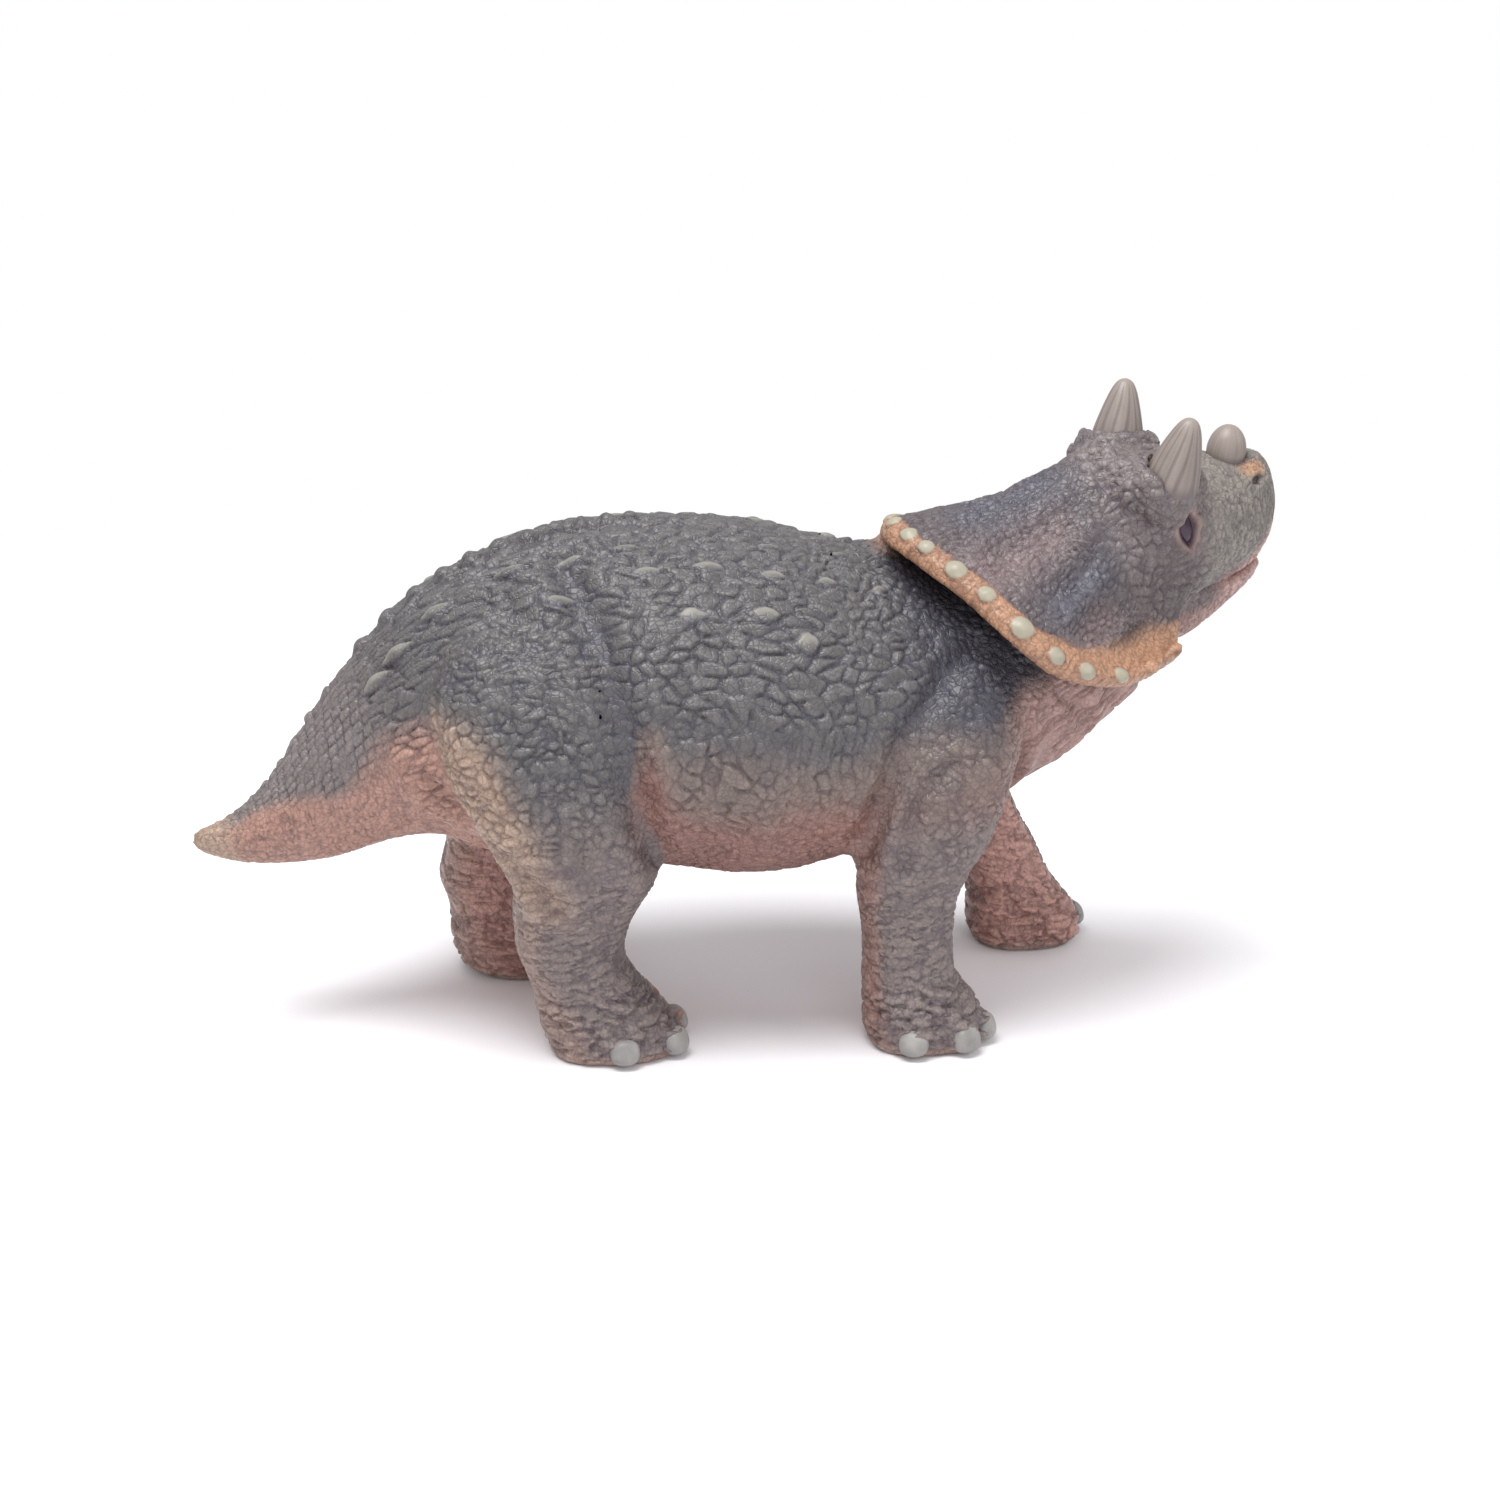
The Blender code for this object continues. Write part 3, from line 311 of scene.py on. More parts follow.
def blend_rows(rows: Array, steps: int) -> Array:
    """Rows of numbers with more between them, on smooth curves through the given ones."""
    padded = np.vstack([rows[0], rows, rows[-1]])
    made = []
    for index in range(1, len(padded) - 2):
        before, start, end, after = padded[index - 1:index + 3]
        for step in range(steps):
            t = step / steps
            bend = 2 * before - 5 * start + 4 * end - after
            twist = 3 * start - before - 3 * end + after
            made.append(start + 0.5 * ((end - before) * t + bend * t**2 + twist * t**3))
    made.append(rows[-1])
    return np.array(made)


@dataclass
class HeadPlace:
    """Where the head's own frame stands, with its origin between the eyes."""

    origin: tuple = (41.84, 0.54, 52.03)
    turn: float = 14.3
    tilt: float = 7.4
    roll: float = 6.7

    def matrix(self) -> Matrix:
        """From the head's frame to the figure's, in millimetres."""
        made = Matrix.Translation(self.origin)
        for degrees, axis in ((self.turn, "Z"), (-self.tilt, "Y"), (self.roll, "X")):
            made = made @ Matrix.Rotation(math.radians(degrees), 4, axis)
        return made


@dataclass(frozen=True)
class HornPlace:
    """Where a horn's foot stands in the head's frame, its lean in degrees, and the radius of its recess."""

    foot: tuple
    outwards: float
    forwards: float
    radius: float

    def matrix(self) -> Matrix:
        """From the horn's own frame, with its foot at the origin, to the figure's, in millimetres."""
        side = math.copysign(1, self.foot[1]) if self.foot[1] else 1
        lean = Matrix.Rotation(math.radians(self.forwards), 4, "Y")
        lean = lean @ Matrix.Rotation(-side * math.radians(self.outwards), 4, "X")
        return HeadPlace().matrix() @ Matrix.Translation(self.foot) @ lean


HORN_PLACES = {
    "right_brow_horn": HornPlace((0.68, -5.85, 5.51), 9.0, 16.0, 2.95),
    "left_brow_horn": HornPlace((0.68, 5.85, 5.51), 9.0, 16.0, 2.95),
    "nose_horn": HornPlace((10.45, 0.0, 4.47), 0.0, 12.0, 2.3),
}


@dataclass
class FrillPlace:
    """The lines from skull to rim that the frill is spread on, in the head's frame."""

    rows: tuple = (
        # rim x, y, z, then root x, y, z, from the top middle down to the left cheek
        (-28.8, 0.0, 3.7, -3.1, 0.0, 7.6),
        (-25.0, 9.5, 0.2, -3.4, 3.4, 5.1),
        (-21.7, 15.5, -3.8, -3.9, 5.7, 1.0),
        (-17.5, 17.1, -7.5, -3.1, 6.5, -4.0),
        (-9.3, 15.2, -10.9, -1.6, 6.5, -7.6),
        (-1.9, 11.8, -10.9, 0.0, 6.0, -9.9),
    )
    steps: int = 8

    def coordinates(self, local: Array) -> dict:
        """Where points lie on the frill.

        Args:
            local: places in the head's frame.

        Returns:
            Arrays: round from -1 at the right cheek over 0 at the top to 1 at the left cheek, edge as the
            same measured along the rim in its half length, out from 0 at the skull to 1 at the rim, off as
            the distance from the frill's middle surface, and breadth of the line.
        """
        left = np.array(self.rows, float)
        right = left[:0:-1] * np.array([1, -1, 1, 1, -1, 1])
        rows = blend_rows(np.vstack([right, left]), self.steps)
        rim, root = rows[:, :3], rows[:, 3:]
        ahead = np.gradient(rim, axis=0)
        face = np.cross(ahead, rim - root)
        face /= np.linalg.norm(face, axis=1)[:, None]
        flat = np.cross(face, rim - root)
        flat /= np.linalg.norm(flat, axis=1)[:, None]
        breadth = np.linalg.norm(rim - root, axis=1)
        middle = (len(rows) - 1) / 2
        travelled = np.concatenate([[0.0], np.cumsum(np.linalg.norm(np.diff(rim, axis=0), axis=1))])
        travelled = 2.0 * travelled / travelled[-1] - 1.0
        found = {key: np.zeros(len(local)) for key in ("round", "edge", "out", "off", "breadth")}
        for start in range(0, len(local), CHUNK):
            part = slice(start, start + CHUNK)
            rel = local[part, None, :] - root[None]
            out = np.einsum("pkc,kc->pk", rel, rim - root) / breadth**2
            foot = root[None] + np.clip(out, 0.0, 1.1)[..., None] * (rim - root)[None]
            miss = np.linalg.norm(local[part, None, :] - foot, axis=2)
            pick = np.argmin(miss, 1)
            every = np.arange(len(pick))
            aside = np.einsum("pc,pc->p", local[part] - foot[every, pick], flat[pick])
            near = np.minimum(pick + 1, len(rows) - 1)
            gap = np.linalg.norm(foot[every, near] - foot[every, pick], axis=1)
            turn = (pick - np.clip(aside / np.maximum(gap, 0.3), -0.5, 0.5) - middle) / middle
            found["round"][part] = turn
            found["edge"][part] = np.interp(turn, np.linspace(-1.0, 1.0, len(rows)), travelled)
            found["out"][part] = out[every, pick]
            found["off"][part] = np.einsum("pc,pc->p", local[part] - foot[every, pick], face[pick])
            found["breadth"][part] = breadth[pick]
        return found


@dataclass
class LegAxis:
    """The middle line of one leg, measured on its CAD piece."""

    piece: Piece
    band: float = 1.6
    top: float = 48.0

    def coordinates(self, points: Array) -> dict:
        """Where points lie round the leg.

        Args:
            points: places in millimetres.

        Returns:
            Arrays: turn in radians from straight ahead towards the outside, and radius from the middle line.
        """
        flat = np.empty(len(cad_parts[self.piece.name].data.vertices) * 3, np.float32)
        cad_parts[self.piece.name].data.vertices.foreach_get("co", flat)
        own = flat.reshape(-1, 3) / MM
        side = -1.0 if "right" in self.piece.name else 1.0
        own = own[own[:, 1] * side > 7.05]
        heights = np.arange(self.band / 2, own[:, 2].max(), self.band)
        centres = []
        for height in heights:
            ring = own[np.abs(own[:, 2] - height) < self.band]
            centres.append((ring[:, :2].min(0) + ring[:, :2].max(0)) / 2)
        centres = np.array(centres)
        off = [points[:, axis] - np.interp(points[:, 2], heights, centres[:, axis]) for axis in (0, 1)]
        return {"turn": np.arctan2(off[1] * side, off[0]), "radius": np.hypot(*off)}


class SkinMesh:
    """A closed mesh of quads as arrays, in millimetres."""

    def __init__(self, points: Array, quads: Array) -> None:
        """Keeps the points and quads and works out the edges."""
        self.points = points
        self.quads = quads
        count = len(points)
        ends = np.stack([quads, np.roll(quads, -1, axis=1)], 2).reshape(-1, 2).astype(np.int64)
        codes, self.edge_of = np.unique(ends.min(1) * count + ends.max(1), return_inverse=True)
        self.edges = np.stack([codes // count, codes % count], 1)
        self.degree = np.bincount(self.edges.ravel(), minlength=count).astype(float)

    @classmethod
    def from_mesh(cls, mesh: bpy.types.Mesh) -> "SkinMesh":
        """Reads a mesh that has only quads."""
        points = np.empty(len(mesh.vertices) * 3, np.float32)
        mesh.vertices.foreach_get("co", points)
        corners = np.empty(len(mesh.loops), np.int32)
        mesh.loops.foreach_get("vertex_index", corners)
        return cls(points.reshape(-1, 3).astype(float) / MM, corners.reshape(-1, 4))

    def gathered(self, index: Array, values: Array) -> Array:
        """Sums of rows of values at the vertices that the index names."""
        columns = [np.bincount(index, column, len(self.points)) for column in values.T]
        return np.stack(columns, 1)

    def normals(self, points: Array | None = None) -> Array:
        """Unit normals at the vertices, for the mesh's own points or for others."""
        corners = (self.points if points is None else points)[self.quads]
        face = np.cross(corners[:, 2] - corners[:, 0], corners[:, 3] - corners[:, 1])
        total = sum(self.gathered(self.quads[:, corner], face) for corner in range(4))
        return total / np.maximum(np.linalg.norm(total, axis=1), 1e-12)[:, None]

    def averaged(self, values: Array) -> Array:
        """The mean of each vertex's neighbours.

        Args:
            values: one number or one row of numbers for each vertex.

        Returns:
            The same shape.
        """
        a, b = self.edges.T
        columns = values.reshape(len(self.points), -1)
        made = self.gathered(a, columns[b]) + self.gathered(b, columns[a])
        return (made / self.degree[:, None]).reshape(values.shape)

    def smoothed(self, values: Array, weight: Array, times: int) -> Array:
        """Values drawn towards their neighbours' mean, as far as weight says, several times over."""
        weight = weight if values.ndim == 1 else weight[:, None]
        for _ in range(times):
            values = values + weight * (self.averaged(values) - values)
        return values

    def largest_shell(self) -> "SkinMesh":
        """The mesh without whatever isn't joined to its largest shell."""
        label = joined_groups(len(self.points), *self.edges.T)
        main = label == np.bincount(label).argmax()
        renumbered = np.cumsum(main) - 1
        return SkinMesh(self.points[main], renumbered[self.quads[main[self.quads[:, 0]]]])

    def subdivided(self, extra: Array) -> tuple:
        """The mesh with each quad made into four by the rule of Catmull and Clark.

        Args:
            extra: rows of numbers for each vertex, which are carried over evenly.

        Returns:
            The finer mesh and the rows for its vertices.
        """
        count, lines = len(self.points), len(self.edges)
        middle = self.points[self.quads].mean(1)
        halfway = self.points[self.edges].mean(1)
        sides = self.edge_of.reshape(-1, 4)
        beside = [np.bincount(self.edge_of, np.repeat(column, 4), lines) for column in middle.T]
        beside = np.stack(beside, 1)
        edge_points = (halfway * 2 + beside) / 4
        faces_at = np.bincount(self.quads.ravel(), minlength=count)[:, None]
        near_faces = sum(self.gathered(self.quads[:, corner], middle) for corner in range(4)) / faces_at
        near_edges = sum(self.gathered(self.edges[:, end], halfway) for end in (0, 1)) / self.degree[:, None]
        own = (near_faces + 2 * near_edges + (faces_at - 3) * self.points) / faces_at
        finer = []
        hearts = count + lines + np.arange(len(self.quads))
        for corner in range(4):
            finer.append(np.stack([self.quads[:, corner], count + sides[:, corner], hearts,
                                   count + sides[:, corner - 1]], 1))
        quads = np.stack(finer, 1).reshape(-1, 4)
        carried = np.vstack([extra, extra[self.edges].mean(1), extra[self.quads].mean(1)])
        return SkinMesh(np.vstack([own, edge_points, middle]), quads), carried


def joined_groups(count: int, a: Array, b: Array) -> Array:
    """For each of count points, a number that it shares with all that links a to b join it to."""
    label = np.arange(count)
    while True:
        low = np.minimum(label[a], label[b])
        after = label.copy()
        np.minimum.at(after, a, low)
        np.minimum.at(after, b, low)
        after = after[after]
        if (after == label).all():
            return label
        label = after


def evaluated_copy(thing: bpy.types.Object) -> bpy.types.Mesh:
    """The object's mesh with its modifiers applied, as a new mesh."""
    graph = bpy.context.evaluated_depsgraph_get()
    return bpy.data.meshes.new_from_object(thing.evaluated_get(graph))


@dataclass
class BaseSkin:
    """The closed skin over all the cast pieces but the horns, before its relief."""

    voxel: float = 0.42
    swell: float = 0.32         # how far the pieces grow, to close the gaps between them
    swell_limit: float = 1.6    # most that an edge may grow, as a multiple of that
    plug_top: float = 0.15      # of the plugs in the horns' recesses, above the horn's foot
    plug_depth: float = 3.4
    plug_taper: float = 0.2
    plug_sides: int = 24
    share_rounds: int = 14      # smoothing of the pieces' shares, the skin, its seams and the horns' feet
    skin_rounds: int = 5
    blend_rounds: int = 26
    foot_rounds: int = 14
    margin: float = 2.0         # round a piece's box, where a face may still be nearest to it

    def gather(self) -> bpy.types.Object:
        """One object with a swollen copy of every cast piece but the horns, and plugs in their recesses."""
        joined = bmesh.new()
        for piece in Piece:
            own = bmesh.new()
            own.from_mesh(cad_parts[piece.name].data)
            bmesh.ops.triangulate(own, faces=own.faces)
            own.normal_update()
            growth = self.swell * MM
            moves = [vertex.normal * growth * min(vertex.calc_shell_factor(), self.swell_limit)
                     for vertex in own.verts]
            for vertex, move in zip(own.verts, moves):
                vertex.co += move
            mesh = bpy.data.meshes.new("swollen")
            own.to_mesh(mesh)
            own.free()
            joined.from_mesh(mesh)
            bpy.data.meshes.remove(mesh)
        for horn in HORN_PLACES.values():
            middle = Matrix.Translation((0.0, 0.0, self.plug_top - self.plug_depth / 2))
            bmesh.ops.create_cone(
                joined, cap_ends=True, segments=self.plug_sides, radius1=horn.radius,
                radius2=horn.radius - self.plug_taper, depth=self.plug_depth,
                matrix=Matrix.Scale(MM, 4) @ horn.matrix() @ middle)
        mesh = bpy.data.meshes.new("skin_base")
        joined.to_mesh(mesh)
        joined.free()
        thing = bpy.data.objects.new("skin_base", mesh)
        bpy.context.scene.collection.objects.link(thing)
        return thing

    @staticmethod
    def near_horns(points: Array) -> Array:
        """How near each point is to a horn's foot, from 0 to 1."""
        near = np.zeros(len(points))
        for horn in HORN_PLACES.values():
            own = moved(points, horn.matrix().inverted())
            away = np.hypot(own[:, 0], own[:, 1]) - horn.radius
            near = np.maximum(near, smoothstep(1.6, 0.4, away) * smoothstep(3.0, 1.5, np.abs(own[:, 2])))
        return near

    def nearest_piece(self, centres: Array) -> Array:
        """The number of the cast piece that each place, in metres, lies nearest to."""
        nearest = np.full(len(centres), FAR)
        numbers = np.zeros(len(centres), np.int32)
        reach = self.margin * MM
        for piece in Piece:
            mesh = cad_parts[piece.name].data
            tree = BVHTree.FromPolygons([v.co for v in mesh.vertices], [p.vertices for p in mesh.polygons])
            low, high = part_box(piece.name)
            near = ((centres > np.array(low) - reach) & (centres < np.array(high) + reach)).all(1)
            for index in np.nonzero(near)[0]:
                distance = tree.find_nearest(Vector(centres[index]))[3]
                if distance is not None and distance < nearest[index]:
                    nearest[index] = distance
                    numbers[index] = piece.value
        return numbers

    def remeshed(self) -> SkinMesh:
        """The gathered pieces as one closed shell of even quads."""
        base = self.gather()
        even = base.modifiers.new("even", "REMESH")
        even.mode = "VOXEL"
        even.voxel_size = 1 * self.voxel * MM
        mesh = evaluated_copy(base)
        skin = SkinMesh.from_mesh(mesh).largest_shell()
        bpy.data.objects.remove(base, do_unlink=True)
        bpy.data.meshes.remove(mesh)
        return skin

    def build(self) -> tuple:
        """The fine skin.

        Returns:
            The skin, the piece number of each face, and each vertex's soft share of every piece.
        """
        skin = self.remeshed()
        numbers = self.nearest_piece(skin.points[skin.quads].mean(1) * MM)
        shares = np.zeros((len(skin.points), len(Piece)))
        for corner in range(4):
            shares[skin.quads[:, corner], numbers] = 1.0
        shares /= shares.sum(1, keepdims=True)
        full = np.ones(len(skin.points))
        shares = skin.smoothed(shares, 0.7 * full, self.share_rounds)
        seam = np.clip(4.0 * (1.0 - shares.max(1)), 0.0, 1.0)
        seam *= 1.0 - smoothstep(0.0, 0.1, shares[:, Piece.lower_jaw.value])
        outwards = skin.normals()
        points = skin.smoothed(skin.points, 0.5 * full, self.skin_rounds)
        points = skin.smoothed(points, 0.6 * seam, self.blend_rounds)
        points = skin.smoothed(points, 0.6 * self.near_horns(points), self.foot_rounds)
        skin.points = points - outwards * self.swell
        skin.points[:, 2] = np.maximum(skin.points[:, 2], 0.0)
        finer, shares = skin.subdivided(shares)
        return finer, np.repeat(numbers, 4), shares


@dataclass
class Places:
    """Every vertex of the skin with its place in each of the body's own coordinates."""

    skin: SkinMesh
    shares: Array

    def __post_init__(self) -> None:
        """Works out the coordinates once for all patterns."""
        points = self.skin.points
        self.points = points
        self.count = len(points)
        self.spine = Spine().coordinates(points)
        self.high = np.sin(self.spine["turn"])
        head = HeadPlace().matrix()
        self.local = moved(points, head.inverted())
        on_head = self.share(Piece.head)
        chosen = on_head > LEAST_SHARE
        self.frill = {}
        for key, values in FrillPlace().coordinates(self.local[chosen]).items():
            self.frill[key] = np.full(self.count, -9.0)
            self.frill[key][chosen] = values
        self.legs = {piece: LegAxis(piece).coordinates(points) for piece in LEGS}
        on_frill = smoothstep(0.12, 0.34, self.frill["out"]) * (np.abs(self.frill["off"]) < 3.2)
        self.on_frill = on_head * on_frill
        self.on_skull = on_head - self.on_frill
        facing = self.skin.normals() @ np.array(head, float)[:3, :3]
        self.upper_face = smoothstep(-0.15, 0.35, 0.6 * facing[:, 0] + 0.8 * facing[:, 2])
        self.on_body = self.share(Piece.trunk)

    def share(self, piece: Piece) -> Array:
        """How far each vertex belongs to a piece."""
        return self.shares[:, piece.value].astype(float)


@dataclass
class Relief:
    """What the patterns do to the skin: its height in millimetres, and where the dark wash, which also paints
    the grooves' shade, gathers or the paint wears off.
    """

    height: Array
    # where the dark wash gathers, which also paints the grooves' shade
    groove: Array
    lot: Array

    def lay(self, weight: Array, pattern: "ScalePattern | WrinklePattern", across: Array,
            strength: float = 1.0) -> None:
        """Adds one pattern, made only for the points that have some weight.

        Args:
            weight: how far the pattern covers each point.
            pattern: the scales or creases.
            across: each point's place in millimetres along and across the pattern's rows.
            strength: multiplies the pattern.
        """
        index = np.nonzero(weight > LEAST_SHARE)[0]
        if len(index):
            for own, values in zip((self.height, self.groove, self.lot), pattern.lay(across[index])):
                own[index] += strength * weight[index] * values


@dataclass(frozen=True)
class ScalePattern:
    """Flat scales with grooves between them."""

    length: float
    width: float
    depth: float = 0.16
    dome: float = 0.10
    jitter: float = 0.7
    stagger: bool = True
    power: float = 3.0
    groove_width: float = 0.24
    warp: float = 0.25
    tilt: float = 0.16
    seed: int = 1

    def lay(self, across: Array) -> tuple:
        """Height, groove and chance number at places given in millimetres along and across the rows."""
        scaled = across / np.array([self.length] + [self.width] * (across.shape[1] - 1))
        if self.warp:
            shift = [Noise.smooth(across, 3.1, self.seed + 5 + axis) for axis in range(across.shape[1])]
            scaled = scaled + self.warp * np.stack(shift, 1)
        edge, lot, lean = Noise.cells(scaled, self.seed, self.jitter, self.stagger, self.power)
        kept = 0.25 + 0.75 * smoothstep(-0.45, 0.10, Noise.layered(across, 1.4, self.seed + 31, 2))
        groove = kept * (1.0 - smoothstep(0.02, self.groove_width, edge))
        swell = 1.0 - kept * (1.0 - smoothstep(0.0, 0.45, edge))
        height = self.dome * swell * (0.5 + lot) + self.tilt * lean * swell - self.depth * groove
        painted = kept * (1.0 - smoothstep(0.0, self.groove_width + 0.10, edge))
        # the dark wash, partly painted groove shade, is heavier on each plate's sunken side
        return height, painted * (0.6 + 0.4 * smoothstep(0.1, -0.3, lean)), lot


@dataclass(frozen=True)
class WrinklePattern:
    """Branching creases that run mostly one way."""

    run: float
    pitch: float
    depth: float = 0.2
    width: float = 0.2
    seed: int = 3

    def lay(self, across: Array) -> tuple:
        """Height, groove and chance number at places given in millimetres along and across the creases."""
        scaled = across / np.array([self.run, self.pitch] + [self.pitch] * (across.shape[1] - 2))
        wave = Noise.layered(scaled, 1.0, self.seed, 3)
        bend = Noise.layered(scaled, 1.7, self.seed + 40, 2)
        groove = np.maximum(1.0 - smoothstep(0.0, self.width, np.abs(wave)),
                            0.7 * (1.0 - smoothstep(0.0, self.width, np.abs(bend))))
        height = self.depth * (0.5 * (1.0 - groove) + 0.35 * np.abs(wave)) - self.depth * groove
        return height, groove, 0.5 + 0.5 * wave


TAIL_LIMITS = (
    # x of the tail's section, then the sine of the turn above which its scales are square and grey
    (-58.0, 0.90), (-53.0, 0.74), (-50.0, 0.80), (-47.0, 0.66), (-45.0, 0.52), (-43.0, 0.36), (-41.0, 0.18),
    (-39.0, 0.20), (-37.0, 0.26), (-35.0, 0.32), (-32.5, 0.30), (-30.0, 0.20), (-27.0, -0.1), (-24.0, -0.5),
)


@dataclass
class HideRelief:
    """Scales of back, flanks, belly, tail and neck."""

    back: ScalePattern = ScalePattern(2.25, 1.30, depth=0.21, dome=0.20, jitter=0.80, warp=0.45, tilt=0.36,
                                      seed=11)
    flank: ScalePattern = ScalePattern(1.60, 1.35, depth=0.19, dome=0.17, jitter=0.95, power=2.4, warp=0.55,
                                       tilt=0.32, seed=23)
    elbow: ScalePattern = ScalePattern(1.15, 2.10, depth=0.20, dome=0.16, stagger=False, warp=0.5, seed=31)
    belly: ScalePattern = ScalePattern(1.55, 0.90, depth=0.14, jitter=0.9, power=2.4, warp=0.6, seed=37)
    tail: ScalePattern = ScalePattern(1.08, 0.88, depth=0.15, dome=0.12, jitter=0.4, stagger=False, power=4.0,
                                      warp=0.12, tilt=0.12, seed=41)
    under_tail: WrinklePattern = WrinklePattern(0.6, 1.5, depth=0.07, width=0.22, seed=43)
    neck: ScalePattern = ScalePattern(1.15, 0.95, depth=0.14, dome=0.11, jitter=0.9, power=2.2, warp=0.5,
                                      seed=47)
    throat: WrinklePattern = WrinklePattern(3.2, 1.4, seed=53)
    girths: tuple = (17.0, 7.5, 11.0)       # radii that the turns on trunk, tail and neck are measured at
    upright: float = 0.7        # how far the tail's rows of scales stand upright

    def shape(self, places: Places, relief: Relief) -> None:
        """Adds the hide's patterns to the relief."""
        spine = places.spine
        turn = (spine["turn"] - math.pi / 2 + math.pi) % (2 * math.pi) - math.pi
        on_trunk, on_tail, on_neck = (np.stack([spine["along"], turn * girth], 1) for girth in self.girths)
        x, high = spine["x"], places.high
        on_tail[:, 0] += self.upright * (1.22 * places.points[:, 0] - on_tail[:, 0])
        body = places.on_body
        tail = places.share(Piece.tail)
        neck = smoothstep(15.0, 22.0, x) * body
        trunk = body - neck
        upper = smoothstep(-0.02, 0.22, high)
        lower = smoothstep(-0.42, -0.62, high)
        elbow = bell(x, 6.5, 5.0) * smoothstep(0.3, 0.05, high) * smoothstep(-0.45, -0.25, high)
        middle = np.clip(1.0 - upper - lower, 0.0, 1.0)
        under = smoothstep(-0.2, -0.5, high)
        limit = np.interp(x, *zip(*TAIL_LIMITS))
        below = smoothstep(limit + 0.10, limit - 0.25, high)
        for weight, across, pattern in (
            (trunk * upper, on_trunk, self.back), (trunk * middle * (1 - elbow), on_trunk, self.flank),
            (trunk * middle * elbow, on_trunk, self.elbow), (trunk * lower, on_trunk, self.belly),
            (tail * (1 - below), on_tail, self.tail), (tail * below, on_tail, self.under_tail),
            (neck * (1 - under), on_neck, self.neck), (neck * under, on_neck, self.throat),
        ):
            relief.lay(weight, pattern, across)
        relief.height += 0.14 * body * Noise.layered(places.points, 3.4, 57, 2)


@dataclass
class Scutes:
    """Raised leaf-shaped plates on the flanks and the row of knobs along the middle of the back."""

    places: tuple = (
        # x of the section's middle in the figure, degrees down from the middle of the back, length, width
        (-34.1, 37.8, 2.5, 1.5), (-32.0, 32.2, 2.5, 1.5), (-28.6, 24.8, 2.5, 1.5), (-22.5, 22.6, 2.7, 1.5),
        (-18.5, 41.7, 2.4, 1.6), (-17.5, 23.8, 2.4, 1.3), (-12.1, 22.3, 2.7, 1.3), (-10.5, 34.7, 2.4, 1.4),
        (-6.7, 51.5, 2.6, 1.8), (-4.8, 32.5, 2.7, 1.5), (0.1, 49.3, 2.8, 1.8), (1.2, 33.9, 2.6, 1.6),
        (1.2, 18.6, 2.6, 1.2), (4.2, 57.9, 2.5, 2.3), (7.3, 33.3, 2.5, 1.5), (9.8, 14.6, 2.4, 1.2),
        (14.1, 35.3, 2.3, 1.5),
    )
    height: float = 0.42
    knob_pitch: tuple = ((-56.0, 0.8), (-48.0, 1.15), (-39.0, 1.6), (-36.0, 2.32), (24.0, 2.32))    # by x
    knob_start: float = -34.4
    knob_height: float = 0.36

    def shape(self, places: Places, relief: Relief) -> Array:
        """Adds the plates to the relief and returns how far each vertex takes a plate's pale paint, which
        fades off each plate's lower side as a painted highlight on its upper side.
        """
        spine = places.spine
        plate_paint_and_highlight = np.zeros(places.count)
        down = np.degrees(np.abs(spine["turn"] - math.pi / 2))
        down = np.where(down > 180.0, 360.0 - down, down)
        body = smoothstep(0.4, 0.8, places.on_body + places.share(Piece.tail))
        for x, degrees, length, width in self.places:
            along = (spine["x"] - x) / (length / 2)
            aside = np.radians(down - degrees) * spine["girth"] / (width / 2)
            reach = np.sqrt(along**2 + (aside / np.clip(1.0 - 0.45 * along**2, 0.45, 1.0)) ** 2)
            top = smoothstep(1.15, 0.8, reach) * body
            ring = smoothstep(1.75, 1.2, reach) * smoothstep(0.85, 1.15, reach) * body
            raised = self.height * top * (1 - 0.3 * reach.clip(0, 1))
            relief.height = relief.height * (1.0 - top) + raised - 0.10 * ring
            # the wash in the ring round each plate, darker below the plate as a painted shadow
            ring_wash_and_shadow = ring * (0.45 + 0.5 * smoothstep(-0.3, 0.6, aside))
            relief.groove = np.maximum(relief.groove * (1.0 - top), ring_wash_and_shadow)
            # pale plate paint on the upper side only, as a painted highlight
            plate_paint_and_highlight = np.maximum(plate_paint_and_highlight, top * smoothstep(0.7, -0.5, aside))
        return plate_paint_and_highlight

    def knobs(self, places: Places, relief: Relief) -> None:
        """Adds the knobs along the middle of the back and tail."""
        spine = places.spine
        grid = np.linspace(-60.0, 30.0, 900)
        pitch = np.interp(grid, *zip(*self.knob_pitch))
        counted = np.cumsum((grid[1] - grid[0]) / pitch)
        counted += 0.5 - np.interp(self.knob_start, grid, counted)
        phase = np.interp(spine["x"], grid, counted)
        local = np.interp(spine["x"], grid, pitch)
        along = (phase - np.floor(phase) - 0.5) * 2.1
        aside = (spine["turn"] - math.pi / 2) * spine["girth"] / (0.42 * local + 0.15)
        reach = np.sqrt(along**2 + aside**2)
        fade = smoothstep(24.0, 14.0, spine["x"]) * (0.35 + 0.65 * smoothstep(-6.0, -14.0, spine["x"]))
        body = (places.on_body + places.share(Piece.tail)) * fade
        top = smoothstep(1.1, 0.2, reach) * body
        raised = self.knob_height * top * local / self.knob_pitch[-1][1]
        relief.height = relief.height * (1.0 - 0.8 * top) + raised
        relief.groove = np.maximum(relief.groove * (1 - 0.8 * top), 0.5 * body * bell(reach, 1.2, 0.15))


